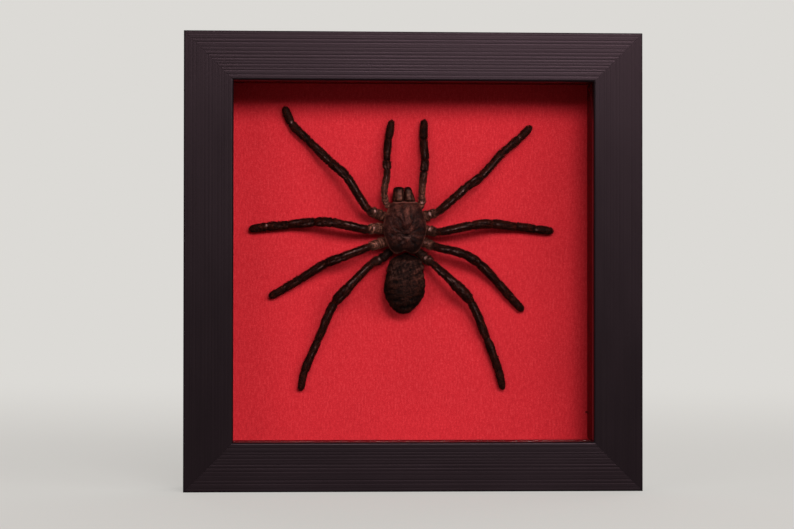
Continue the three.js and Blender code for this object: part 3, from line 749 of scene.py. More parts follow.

# %% [markdown]
# ## Skin and hair finishes
# The hard skin is dark red-brown, and each coat of hair tints it. Legs are near black, the coxae close to
# the body are pale brown, joints show a pinkish skin, and narrow bald stripes on the long segments are
# painted pale grey for their sheen. One function makes the finish, and each part of the body passes its
# own colours. A second attribute, shade, holds painted shade and light besides the skin's own darker and
# lighter tones: it darkens the colour in grooves and lightens it on ridges; on hair it differs from one
# hair to the next. Noise of half a millimetre and of two millimetres mottles the coat. Dry hair has
# hardly any gloss.


# %% Haired skin
def haired_skin(name, skin, hair, pale, bare, brown, rough, gloss):
    """Dried cuticle under hair. Colours are mixed by the zones attribute: first hair over skin, then the
    lighter brown, then the bald stripes with their painted sheen, then the pale joint skin. The result is
    multiplied by shade, which holds painted shade and light too."""
    material, tree, shader = new_material(name)
    spot = add(tree, "TexCoord").outputs["Object"]
    zone = add(tree, "Attribute", attribute_type="GEOMETRY", attribute_name="zones")
    shade = add(tree, "Attribute", attribute_type="GEOMETRY", attribute_name="shade")
    parts = add(tree, "SeparateColor", {"Color": zone.outputs["Color"]})
    fine = add(tree, "TexNoise", {"Vector": spot, "Scale": 1 / (0.6 * MM), "Detail": 3.0})
    broad = add(tree, "TexNoise", {"Vector": spot, "Scale": 1 / (2.2 * MM), "Detail": 3.0})
    skin_tone, hair_tone = (
        add(tree, "ValToRGB", {"Fac": noise.outputs["Fac"]}, stops=((0.35, tones[0]), (0.65, tones[1])))
        for noise, tones in ((fine, skin), (broad, hair)))
    tone = add(tree, "Mix", {0: zone.outputs["Alpha"], 6: skin_tone.outputs["Color"],
                             7: hair_tone.outputs["Color"]}, data_type="RGBA")
    for channel, colour in (("Blue", brown), ("Green", bare), ("Red", pale)):
        tone = add(tree, "Mix", {0: parts.outputs[channel], 6: tone.outputs[2], 7: linear(colour)},
                   data_type="RGBA")
    mottle = add(tree, "MapRange", {"Value": fine.outputs["Fac"], "From Min": 0.3, "From Max": 0.7,
                                    "To Min": 0.5, "To Max": 1.5})
    strength = add(tree, "Math", {0: mottle.outputs["Result"], 1: shade.outputs["Fac"]},
                   operation="MULTIPLY")
    shaded = add(tree, "VectorMath", {0: tone.outputs[2], "Scale": strength.outputs[0]}, operation="SCALE")
    matt = add(tree, "MapRange", {"Value": parts.outputs["Green"], "To Min": rough, "To Max": rough - 0.22})
    relief = add(tree, "Bump", {"Height": fine.outputs["Fac"], "Strength": 0.6, "Distance": 0.08 * MM})
    plug(tree, shader, {"Base Color": shaded.outputs["Vector"], "Roughness": matt.outputs["Result"],
                        "Normal": relief.outputs["Normal"], "Specular IOR Level": gloss})
    return material


# bare is the colour of hairless stripes and ridges; on the legs and the carapace's crest its paleness is a
# painted sheen
limb_skin = haired_skin(
    "dried leg cuticle with short hair", skin=("#240a06", "#37130c"), hair=("#260b07", "#40160e"),
    pale="#b98580", bare="#a37d78", brown="#c17562", rough=0.55, gloss=0.08)
carapace_skin = haired_skin(
    "dried carapace with flattened hair", skin=("#2c1210", "#3d1c17"), hair=("#2c1210", "#45211c"),
    pale="#9c594e", bare="#8a625a", brown="#6e3b30", rough=0.58, gloss=0.09)
jaw_skin = haired_skin(
    "dried jaw cuticle with bald stripes", skin=("#200c09", "#30140e"), hair=("#240e0a", "#3a1911"),
    pale="#7a4a3c", bare="#7a463a", brown="#563022", rough=0.58, gloss=0.08)
abdomen_skin = haired_skin(
    "shrunken abdomen under velvet hair", skin=("#1c0a07", "#280f09"), hair=("#1c0a07", "#30130b"),
    pale="#6a3024", bare="#4a2c22", brown="#452b26", rough=0.7, gloss=0.08)
print("four haired finishes")

# %% [markdown]
# ## Legs and palps
# A tarantula's leg has seven segments: coxa, trochanter, femur, patella, tibia, metatarsus and tarsus; a
# palp has no metatarsus. s counts joints along the limb. The radius narrows at each joint, dried skin
# sinks into lengthwise furrows, and the short segments by the body are ringed with pale fringes. Hair is
# left out on the bald stripes and lies flat elsewhere, pointing to the tip, so its ends just reach the
# limb's full girth.

# %% Limb tables
# Each joint is [x, z, height above the panel], from the sternum out.
LEG_JOINTS = {
    "leg_left_1": [[-6.8, 112.4, 4.2], [-14.4, 115.7, 5.4], [-17.8, 117, 7.8], [-27.2, 130.8, 10.2],
                   [-33.8, 137.2, 6.6], [-43, 146.4, 3.2], [-50.2, 153.8, 2.5], [-53.3, 160.7, 2.1]],
    "leg_left_2": [[-6.9, 108.8, 4.2], [-15.2, 109.3, 5.4], [-18.2, 108.8, 7.8], [-32.8, 111.5, 10.2],
                   [-40.3, 111.9, 6.6], [-51.2, 110.9, 3.2], [-60.2, 110, 2.5], [-67.8, 108.9, 2.1]],
    "leg_left_3": [[-6.8, 104.9, 4.2], [-13.8, 102.7, 5.4], [-17.4, 101.5, 7.8], [-29.3, 96.9, 10.2],
                   [-35.5, 94.6, 6.6], [-46.1, 88.1, 3.2], [-52.9, 84, 2.5], [-59.4, 80.5, 2.1]],
    "leg_left_4": [[-6.6, 101, 3.8], [-12.8, 96.4, 4.9], [-16.4, 94.4, 7.8], [-26.3, 84.4, 10.2],
                   [-32.1, 77.8, 6.6], [-38.9, 62.2, 3.2], [-44.5, 49, 2.5], [-46.3, 41, 2.1]],
    "leg_right_1": [[2, 112.4, 4.2], [8, 115.1, 5.4], [11.3, 116.3, 7.8], [23.1, 126.4, 10.2],
                    [29.9, 131.4, 6.6], [39.4, 141.7, 3.2], [46.3, 147.6, 2.5], [51.6, 153, 2.1]],
    "leg_right_2": [[2.1, 108.8, 4.2], [8, 108.4, 5.4], [11.2, 107.8, 7.8], [25.4, 110.4, 10.2],
                    [34.4, 111.3, 6.6], [44.9, 110.3, 3.2], [53.5, 109.3, 2.5], [60.9, 108.3, 2.1]],
    "leg_right_3": [[2, 104.9, 4.2], [6.9, 103.1, 5.4], [9.9, 101.7, 7.8], [22, 98.5, 10.2],
                    [28.9, 94.6, 6.6], [37.1, 86.7, 3.2], [42.9, 80.2, 2.5], [48, 74.7, 2.1]],
    "leg_right_4": [[1.8, 101, 3.8], [6.4, 96.8, 4.9], [9.1, 94.5, 7.8], [17.9, 86.4, 10.2],
                    [25.5, 78.3, 6.6], [32.6, 62.8, 3.2], [37.6, 49.6, 2.5], [39.6, 41.3, 2.1]],
}
PALP_JOINTS = {
    "palp_left": [[-6.2, 116.8, 4.2], [-10, 119.8, 5.4], [-11, 123.8, 6.2], [-9.9, 133.8, 6.6],
                  [-10, 138.1, 5.6], [-9.2, 146.9, 3.2], [-7.7, 154.9, 2]],
    "palp_right": [[1.4, 116.8, 4.2], [4.6, 119.6, 5.4], [4.8, 123.6, 6.2], [5.6, 133.2, 6.6],
                   [6.2, 138.3, 5.6], [5.7, 147.1, 3.2], [6.1, 155.3, 2]],
}
GIRTH = {"leg_left_1": 1.12, "leg_left_2": 1.16, "leg_left_3": 1.1, "leg_left_4": 1.08,
         "leg_right_1": 1.08, "leg_right_2": 1.13, "leg_right_3": 1.12, "leg_right_4": 1.1,
         "palp_left": 1.03, "palp_right": 1.1}
# Each radius is [s, mm], before the girth.
LEG_RADII = [[0, 1.5], [0.15, 1.6], [0.4, 1.9], [0.8, 2.05], [1, 1.9], [1.25, 1.95], [1.65, 1.8],
             [2, 1.52], [2.12, 1.5], [2.4, 1.6], [2.85, 1.68], [3, 1.58], [3.2, 1.74], [3.75, 1.76],
             [4, 1.54], [4.2, 1.68], [4.6, 1.62], [4.9, 1.56], [5, 1.45], [5.15, 1.56], [5.8, 1.62],
             [6, 1.5], [6.25, 1.64], [6.6, 1.58], [7, 1.3]]
PALP_RADII = [[0, 1.1], [0.2, 1.3], [0.7, 1.45], [1, 1.4], [1.5, 1.48], [2, 1.38], [2.2, 1.36], [2.7, 1.42],
              [3, 1.45], [3.3, 1.66], [3.8, 1.66], [4, 1.46], [4.2, 1.52], [4.7, 1.54], [5, 1.48],
              [5.25, 1.62], [5.6, 1.6], [6, 1.3]]
HIND_COXA, HIND_PATELLA = 0.92, 1.2  # the hindmost legs have slimmer coxae and stouter patellae than that
HIND_RADII = [[s, r * (HIND_COXA if s < 1.1 else HIND_PATELLA if 3 <= s < 3.9 else 1)] for s, r in LEG_RADII]
# Pale spots of bare joint skin: (s, sideways mm, radius mm, strength).
PALE_SPOTS = {
    "leg_left_1": [(1.55, -0.6, 0.6, 0.9), (6.0, -0.2, 0.45, 0.9)],
    "leg_left_2": [(1.5, -0.2, 0.5, 0.8), (6.0, -0.7, 0.45, 0.8)],
    "leg_left_3": [(1.5, -0.2, 0.5, 0.5), (5.95, -0.5, 0.35, 0.6)],
    "leg_left_4": [(1.4, -0.2, 0.6, 0.5)],
    "leg_right_1": [(1.35, 0.3, 0.8, 0.75), (6.0, 0.0, 0.45, 0.7)],
    "leg_right_2": [(1.35, 0.5, 0.8, 0.65), (6.0, -0.3, 0.4, 0.8)],
    "leg_right_3": [(0.95, 0.0, 0.5, 0.35), (1.6, 0.1, 0.5, 0.6), (5.95, 1.0, 0.35, 0.6)],
    "leg_right_4": [(1.25, 0.1, 0.75, 0.6), (1.75, 1.0, 0.5, 0.35), (5.0, 0.8, 0.35, 0.5)],
    "palp_left": [(1.1, 0.0, 0.4, 0.4)],
    "palp_right": [(1.25, 0.0, 0.6, 0.6), (0.6, 0.4, 0.5, 0.4)],
}
# How strongly the coxa and trochanter are ringed with pale fringes; the less fringed get more painted shade.
FRINGED = {"leg_left_1": 0.6, "leg_left_2": 1.0, "leg_left_3": 1.0, "leg_left_4": 0.15, "leg_right_1": 0.6,
           "leg_right_2": 0.5, "leg_right_3": 0.6, "leg_right_4": 0.3, "palp_left": 0.8, "palp_right": 0.8}
# Joints that show a dark open crease.
CREASES = {"palp_left": [3.95], "palp_right": [3.0, 5.0]}
# Bald stripes along the top, coloured pale grey as a painted sheen: (from s, to s, sideways angle in
# radians, strength).
BALD_SHEEN_STRIPES = [(2.2, 2.9, -0.15, 0.8), (2.92, 3.1, 0.2, 0.7), (3.2, 3.75, 0.35, 0.7), (3.15, 3.45, -0.3, 0.5),
           (4.06, 4.45, 0.1, 0.7), (4.35, 4.8, -0.35, 0.35), (5.1, 5.5, 0.1, 0.35)]
COAT = 0.22  # how thick the flat hair lies over the skin
print(len(LEG_JOINTS), "legs and", len(PALP_JOINTS), "palps")


# %% Limb surface
def limb_grid(name, joints, radii, girth, rings, sides, rng):
    """Corner places and zones of a limb's skin, as rings along s and around it.
    radius = eased table - coat - joint notches - furrows + uneven bumps, and the ends close round."""
    at, along = joint_curve(joints)
    last = len(joints) - 1
    fine_s = np.linspace(0, last, 4000)
    far = np.concatenate([[0], np.cumsum(np.linalg.norm(np.diff(at(fine_s), axis=0), axis=1))])
    reach = np.linspace(0.02, far[-1] - 0.02, rings)
    s = np.interp(reach, far, fine_s)
    theta = np.arange(sides) * 2 * np.pi / sides
    spine, heading = at(s), along(s)
    side = np.cross(heading, [0.0, 1.0, 0.0])
    side /= np.linalg.norm(side, axis=1, keepdims=True)
    top = -np.cross(side, heading)
    out = np.cos(theta)[None, :, None] * top[:, None] + np.sin(theta)[None, :, None] * side[:, None]
    full = eased(s, radii) * girth
    around = np.angle(np.exp(1j * theta))[None, :]
    ss = s[:, None]
    mm_per_s = np.gradient(reach, s)[:, None]
    radius = np.repeat((full - COAT)[:, None], sides, axis=1)
    shade = np.ones_like(radius)
    # soft joints: a notch 0.2 mm deep, and deeper where a dark crease stands open
    for joint in range(1, last):
        gap = (ss - joint) * mm_per_s
        radius = radius - 0.2 * np.exp(-(gap / 0.35) ** 2)
        shade = shade * (1 - 0.4 * np.exp(-(gap / 0.4) ** 2))
    for crease in CREASES.get(name, []):
        gap = (ss - crease) * mm_per_s
        radius = radius - 0.5 * np.exp(-(gap / 0.4) ** 2)
        shade = shade * (1 - 0.8 * np.exp(-(gap / 0.45) ** 2))
    # uneven shrinking
    skin = spine[:, None] + out * 1.4
    for depth, wavelength in ((0.1, 7.0), (0.05, 3.0), (0.05, 1.2)):
        radius = radius + depth * bumps(rng, skin, wavelength)
    # bald stripes, each beside a furrow; a stripe's pale grey colour is its painted sheen
    bare = np.zeros_like(radius)
    for start, end, angle, strength in BALD_SHEEN_STRIPES:
        if last == 6 and start > 5:
            continue
        start, end = start + rng.uniform(-0.08, 0.08), end + rng.uniform(-0.12, 0.08)
        centre = angle + rng.uniform(-0.25, 0.25)
        bend = centre + 0.15 * np.sin(3 * ss + rng.uniform(0, 6))
        line = np.exp(-((around - bend) / 0.12) ** 2) * band(ss, start, end, 0.04) * strength
        bare = np.maximum(bare, line * np.clip(0.6 + 0.8 * bumps(rng, skin, 1.6), 0, 1))
        furrow = np.exp(-((around - bend + 0.45) / 0.17) ** 2) * band(ss, start, end, 0.05)
        radius = radius + 0.05 * line - 0.09 * furrow
        # painted shade: each furrow is darkened as well as sunk
        shade = shade * (1 - 0.35 * furrow)
    # fringes round the two short segments by the body
    inner = band(ss, -1, 1.92, 0.05)
    wobble = 0.35 * bumps(rng, skin, 3.5)
    rib = (0.5 + 0.5 * np.cos(2 * np.pi * (reach[:, None] + wobble) / 1.35)) ** 1.4
    radius = radius + inner * (0.16 * rib - 0.05)
    # painted shade: darker in the grooves between the raised ribs
    shade = shade * (1 - inner * FRINGED[name] * 0.85 * (1 - rib))
    broken = np.clip(0.6 + 0.7 * bumps(rng, skin, 1.3), 0, 1)
    brown = inner * FRINGED[name] * (0.3 + 0.7 * rib * broken)
    if last == 6:
        brown = brown + 0.25 * band(ss, 1.95, 2.45, 0.15)
    # painted shade standing in for the shadow that denser hair would cast, most on the least fringed coxae
    shade = shade * (1 - 0.6 * inner * (1 - FRINGED[name]))
    # painted shade: the hind coxae are darker next to the body, between carapace and abdomen
    if name.endswith("4"):
        shade = shade * (1 - 0.5 * band(ss, -1, 0.95, 0.12))
    # painted glints: small bright specks where the hair catches the light
    painted_glints = np.clip(bumps(rng, skin, 1.1) - 0.6, 0, 0.9) * (1 - inner)
    shade = shade * (0.8 + 0.25 * bumps(rng, skin, 2.6) + 2.8 * painted_glints)
    # round ends: the last 1.5 mm close as a quarter circle
    ends = np.clip(np.minimum(reach, far[-1] - reach) / 1.5, 0, 1)[:, None]
    radius = radius * np.sqrt(1 - (1 - ends) ** 2)
    grid = spine[:, None] + out * radius[..., None]
    # bare joint skin
    pale = np.zeros_like(radius)
    ragged = 1 + 0.35 * bumps(rng, grid, 0.9)
    for place_s, sideways, size, strength in PALE_SPOTS[name]:
        i = int(np.abs(s - place_s).argmin())
        girth_here = full[i] - COAT
        lift = np.sqrt(max(girth_here**2 - sideways**2, 0.1))
        spot = spine[i] + side[i] * sideways + top[i] * lift
        near = np.exp(-(np.linalg.norm(grid - spot, axis=-1) * ragged / size) ** 3)
        pale = np.maximum(pale, near * strength)
    grid = grid + out * (0.12 * pale)[..., None]
    shade = np.clip(shade + pale, 0, 2.0)
    zones = np.stack([pale, bare, brown, np.zeros_like(pale), shade], axis=-1)
    return grid, zones, s


def limb(name, joints, radii, rings, hairs, seed):
    """A limb with its hair in one mesh."""
    rng = np.random.default_rng(seed)
    grid, zones, s = limb_grid(name, joints, radii, GIRTH[name], rings, LIMB_SIDES, rng)
    cover = (1 - 0.95 * zones[..., 1]) * (1 - zones[..., 0]) * np.where(s[:, None] < 1.95, 0.6, 1.0)
    middle = np.repeat(grid[:-1].mean(axis=1), LIMB_SIDES, axis=0)
    s_at = np.repeat(s[:-1], LIMB_SIDES)

    def length(cell):
        return np.where(s_at[cell] > 6, 0.9, 1.25) * rng.uniform(0.7, 1.3, hairs)

    hair = coat(rng, grid, zones, cover, hairs, middle, length, width=0.09, lift=0.28, spread=0.35,
                tint=[0.3, 0.5, 0.9], shades=0.6)
    return haired_piece(name, "limb", limb_skin, grid, zones, hair)


# %% Legs and palps
LIMB_SIDES = 30
LEG_RINGS, LEG_HAIRS, FIRST_LEG_SEED = 380, 15000, 100
PALP_RINGS, PALP_HAIRS, FIRST_PALP_SEED = 240, 9000, 200
for k, (name, joints) in enumerate(LEG_JOINTS.items()):
    radii = HIND_RADII if name.endswith("4") else LEG_RADII
    made = limb(name, joints, radii, LEG_RINGS, LEG_HAIRS, FIRST_LEG_SEED + k)
    print(made.name, len(made.data.polygons))
for k, (name, joints) in enumerate(PALP_JOINTS.items()):
    made = limb(name, joints, PALP_RADII, PALP_RINGS, PALP_HAIRS, FIRST_PALP_SEED + k)
    print(made.name, len(made.data.polygons))

# %% [markdown]
# ## Carapace
# The carapace is the hard shield over the front body. Grooves run from a pit in its middle, the fovea,
# where the stomach muscles pull inside: two forward in a V that outlines the raised head, and several to
# the sides. A low mound at the front carries eight small eyes. The shield is a height over a polar grid:
# the outline gives how far out the rim is at each angle, and the dome, the head, the grooves and the
# rim's thin border add up to the height. The same rings run on under the rim and close below, with the
# oval breastplate as a bulge.

# %% Carapace outline and grooves
CARAPACE_X = -2.5
CARAPACE_MIDDLE = 109.0
# Half widths against z, tail end first.
CARAPACE_OUTLINE = [[0, 100], [1.2, 99.4], [2.4, 98.7], [3.6, 98.4], [4.8, 98.95], [6.2, 100.3],
                    [7.7, 103.2], [8.75, 106.3], [9.15, 109.2], [9.0, 111.6], [8.35, 114.4], [7.3, 117.1],
                    [6.4, 118.8], [5.5, 120.1], [4.6, 120.6], [0, 120.7]]
RIM_HEIGHT = 7.6  # above the panel
# Places on the carapace are a, across from its middle line, and b, which is z.
FOVEA = (0.5, 106.5)
EYES = (0.4, 118.7)
CARAPACE_HAIRS = 9000


def rim_distance(angle):
    """Distance from the middle to the outline at each angle from +z, for a shape that is the same on both
    sides. The corners of the table are joined straight and then rounded by a short running mean."""
    half, z = np.array(CARAPACE_OUTLINE, float).T
    fine = np.linspace(0, len(z) - 1, 1200)
    half, z = np.interp(fine, np.arange(len(z)), half), np.interp(fine, np.arange(len(z)), z)
    corner_angle = np.arctan2(half, z - CARAPACE_MIDDLE)
    order = np.argsort(corner_angle)
    grid_angle = np.linspace(-np.pi, np.pi, 1441)
    distance = np.interp(np.abs(grid_angle), corner_angle[order], np.hypot(half, z - CARAPACE_MIDDLE)[order])
    kernel = np.hanning(61)
    wrapped = np.concatenate([distance[-61:-1], distance, distance[1:61]])
    smooth = np.convolve(wrapped, kernel / kernel.sum(), mode="same")[60:-60]
    return np.interp(np.angle(np.exp(1j * angle)), grid_angle, smooth)


def line_dip(a, b, start, end, width):
    """How deep a straight groove is at (a, b), 0 to 1: a bell-shaped valley, faded at the line's ends."""
    (a0, b0), (a1, b1) = start, end
    run = np.hypot(a1 - a0, b1 - b0)
    da, db = (a1 - a0) / run, (b1 - b0) / run
    along = (a - a0) * da + (b - b0) * db
    off = (a - a0) * db - (b - b0) * da
    return np.exp(-(off / width) ** 2) * band(along, 0.3, run - 0.3, 0.35)


def carapace_relief(a, b, rho):
    """Height over the rim and the grooves' depth, at a across and b along, with rho 1 on the rim."""
    # the shield itself
    shield = 3.9 * np.clip(1 - rho**2.6, 0, 1) ** 0.55
    headward = np.clip((b - 107) / 5, 0, 1)
    headward = headward**2 * (3 - 2 * headward)
    head = 1.5 * headward * np.exp(-(a / 4) ** 2) * np.clip(1 - rho**6, 0, 1)
    # grooves
    fa, fb = FOVEA
    grooves = np.zeros_like(a)
    for sign in (-1, 1):
        grooves += line_dip(a, b, (fa + sign * 0.5, fb + 1.2), (sign * 4.2 + 0.3, 114.6), 0.55)
        grooves += 0.8 * line_dip(a, b, (sign * 1.5 + 0.6, 112.2), (sign * 2.0 + 0.5, 119.0), 0.5)
        for degrees, length, depth in ((64, 7.4, 0.7), (88, 7.8, 0.9), (112, 7.2, 0.6), (140, 6.6, 0.8)):
            turn = np.radians(degrees) * sign
            end = (fa + length * np.sin(turn), fb + length * np.cos(turn))
            start = (fa + 1.5 * np.sin(turn), fb + 1.5 * np.cos(turn))
            grooves += depth * line_dip(a, b, start, end, 0.42)
    pit = np.exp(-((a - fa) / 1.2) ** 2 - ((b - fb - 0.08 * (a - fa) ** 2) / 0.42) ** 2)
    crest = np.exp(-((a - fa + 0.2) / 1.9) ** 4 - ((b - fb + 1.1 - 0.07 * (a - fa + 0.2) ** 2) / 0.22) ** 2)
    # the eye mound
    ea, eb = EYES
    mound = np.exp(-((a - ea) / 1.25) ** 4 - ((b - eb) / 0.75) ** 4)
    border = np.exp(-((1 - rho) / 0.035) ** 2)
    height = shield + head - 0.34 * grooves - 0.6 * pit + 0.2 * crest + 0.5 * mound + 0.12 * border
    return height, grooves, pit, crest, mound


print("half width at the middle", rim_distance(np.array([np.pi / 2])).round(2), "mm")


# %% Carapace surface and colours
def carapace():
    """The shield, its turned-under rim and the breastplate as one closed surface on a polar grid."""
    rng = np.random.default_rng(31)
    angle = np.linspace(0, 2 * np.pi, 180, endpoint=False)
    over = np.sin(np.linspace(0.01, np.pi / 2, 110))
    under = np.sin(np.linspace(np.pi / 2, 0.02, 30))[1:]
    rho = np.concatenate([over, under])[:, None]
    above = (np.arange(len(rho)) < len(over))[:, None]
    distance = rim_distance(angle)[None, :]
    a = rho * distance * np.sin(angle)
    b = CARAPACE_MIDDLE + rho * distance * np.cos(angle)
    place = np.stack([a, np.zeros_like(a), b], axis=-1)
    inner = np.clip(1 - rho**6, 0, 1) * np.clip(np.hypot(a - FOVEA[0], b - FOVEA[1]) / 3, 0, 1)
    bent_a = a + 0.5 * inner * bumps(rng, place, 4.5)
    bent_b = b + 0.5 * inner * bumps(rng, place, 4.5)
    height, grooves, pit, crest, mound = carapace_relief(bent_a, bent_b, np.broadcast_to(rho, a.shape))
    uneven = 0.1 * bumps(rng, place, 2.6) + 0.06 * bumps(rng, place, 1.1)
    height = height + uneven * np.clip(1 - rho**8, 0, 1)
    belly = 0.3 * np.sqrt(np.clip(1 - rho**2, 0, 1))
    plate = np.clip(1 - ((a - 0.1) / 3.7) ** 2 - ((b - 107.6) / 7.6) ** 2, 0, 1)
    below = -belly - 5.2 * np.sqrt(plate)
    h = RIM_HEIGHT + np.where(above, height, below)
    grid = np.stack([CARAPACE_X + a, PANEL_Y - h, b], axis=-1)
    # colours: streaks that run out from the fovea, a light wedge on the head, a reddish front border
    fa, fb = FOVEA
    far, turn = np.hypot(a - fa, b - fb), np.arctan2(a - fa, b - fb)
    polar = np.stack([5.5 * np.cos(turn), 5.5 * np.sin(turn), 0.3 * far], axis=-1)
    streaks = bumps(rng, polar, 2.6) * np.clip(far / 2, 0, 1)
    blotches = 0.5 * bumps(rng, place, 2.2) + 0.7 * bumps(rng, place, 4.5)
    line = np.where(above, band(rho, 0.955, 1.1, 0.008), 0)
    front = band(b, 120.1, 125, 0.1) * np.where(above, 1, 0) * band(np.abs(a - 0.1), -1, 5.0, 0.25)
    pale = np.clip(0.85 * front + 0.3 * line * band(b, 90, 116, 1.5), 0, 1)
    # painted highlight: the crest behind the fovea takes the pale bare colour
    bare = np.clip(0.45 * crest, 0, 1)
    wedge = band(b, 111.5, 119.2, 0.6) * np.exp(-((bent_a - 0.75) / (0.14 * (b - 104.5).clip(1))) ** 2)
    rear = band(b, 90, 104.6, 0.8)
    fringe = band(b, 116.5, 119.6, 0.4) * band(np.abs(a), 2.2, 5.4, 0.4)
    shade = (0.93 + 0.25 * np.exp(-((a / 3.5) ** 2)) + 0.22 * streaks + 0.3 * blotches + 0.55 * wedge
             + 0.25 * fringe - 0.68 * rear - 0.3 * mound)
    # painted shade: darker in the grooves and in the fovea's pit
    shade = (shade - 0.018 * a).clip(0.3, 2.2) * np.exp(-0.9 * np.clip(grooves, 0, 1) - 1.8 * pit)
    shade = np.where(front > 0.3, np.maximum(shade, 1), shade) + 0.5 * line * rear
    brown = np.clip(0.5 * line + 0.15 * wedge + 0.12 * fringe + 0.15 * blotches, 0, 1)
    brown = brown * np.where(above, 1, 0.4)
    zones = np.stack([pale, bare, brown, np.zeros_like(a), shade], axis=-1)
    return grid, zones, above, mound


grid, zones, above, mound = carapace()
print("carapace grid", grid.shape)


# %% Eyes
def eye_balls():
    """Eight low glassy eyes on the mound: small spheres in two rows. Each spot is (a and b from the mound's
    middle, radius)."""
    spots = [(-0.75, 0.32, 0.2), (-0.28, 0.3, 0.24), (0.28, 0.3, 0.24), (0.75, 0.32, 0.2),
             (-0.9, -0.22, 0.19), (-0.45, -0.3, 0.14), (0.45, -0.3, 0.14), (0.9, -0.22, 0.19)]
    lat = np.linspace(0.15, np.pi - 0.15, 7)
    lon = np.linspace(0, 2 * np.pi, 10, endpoint=False)
    ball = np.stack([np.sin(lat)[:, None] * np.cos(lon), np.sin(lat)[:, None] * np.sin(lon),
                     np.cos(lat)[:, None] * np.ones(10)], axis=-1)
    shape, faces = with_poles(ball), tube_faces(7, 10)
    triangles = np.vstack([faces[1], faces[0][:, [0, 1, 2]], faces[0][:, [0, 2, 3]]])
    if signed_volume(shape, [triangles]) < 0:
        triangles = triangles[:, ::-1]
    points, sets = [], []
    for k, (da, db, size) in enumerate(spots):
        a, b = EYES[0] + da, EYES[1] + db
        rho = np.hypot(a, b - CARAPACE_MIDDLE) / rim_distance(np.arctan2(a, b - CARAPACE_MIDDLE))
        height = carapace_relief(np.array([a]), np.array([b]), np.array([rho]))[0][0]
        points.append(shape * size + [CARAPACE_X + a, PANEL_Y - RIM_HEIGHT - height, b])
        sets.append(triangles + k * len(shape))
    return np.vstack(points), np.vstack(sets)


eyes, eye_faces = eye_balls()
print("eyes", len(eye_faces), "faces")

# %% Carapace with its hair and eyes
cover = np.where(above, 1.0, 0.15) * (1 - zones[..., 1]) * (1 - 0.8 * mound)
inside = np.array([CARAPACE_X, PANEL_Y - RIM_HEIGHT, CARAPACE_MIDDLE])
hair = coat(np.random.default_rng(32), grid, zones, cover, CARAPACE_HAIRS, inside, length=0.75, width=0.075,
            lift=0.14, spread=0.35, tint=0.8, shades=0.35)
eye_zones = np.tile([0.0, 0.6, 0.0, 0.0, 0.3], (len(eyes), 1))
made = haired_piece("cephalothorax", "carapace", carapace_skin, grid, zones, hair,
                    (eyes, eye_faces, eye_zones))
print(made.name, len(made.data.polygons))

# %% [markdown]
# ## Jaws
# The two chelicerae stand in front of the carapace: deep lobes, flat where they face each other, with bald
# stripes between bands of hair and a bristly front edge. Each is an oval carried forward along z while it
# narrows, and its end is rounded off.

# %% Jaws
JAWS = {
    "chelicera_left": {"base_x": -5.45, "tip_x": -5.0, "base_half": 2.5, "tip_half": 2.1, "inner": 1},
    "chelicera_right": {"base_x": -0.15, "tip_x": -1.25, "base_half": 2.45, "tip_half": 1.3, "inner": -1},
}
JAW_FROM, JAW_TO = 120.4, 126.6
JAW_HEIGHT, JAW_HALF_HEIGHT = 6.9, 3.8
JAW_RINGS, JAW_SIDES, JAW_HAIRS = 48, 60, 3000
# Stripes of thin hair along each jaw: (angle from the top, half width, strength), inner side positive.
JAW_STRIPES = [(0.05, 0.2, 1.0), (-0.62, 0.14, 0.7), (0.75, 0.14, 0.45), (-1.15, 0.12, 0.4)]


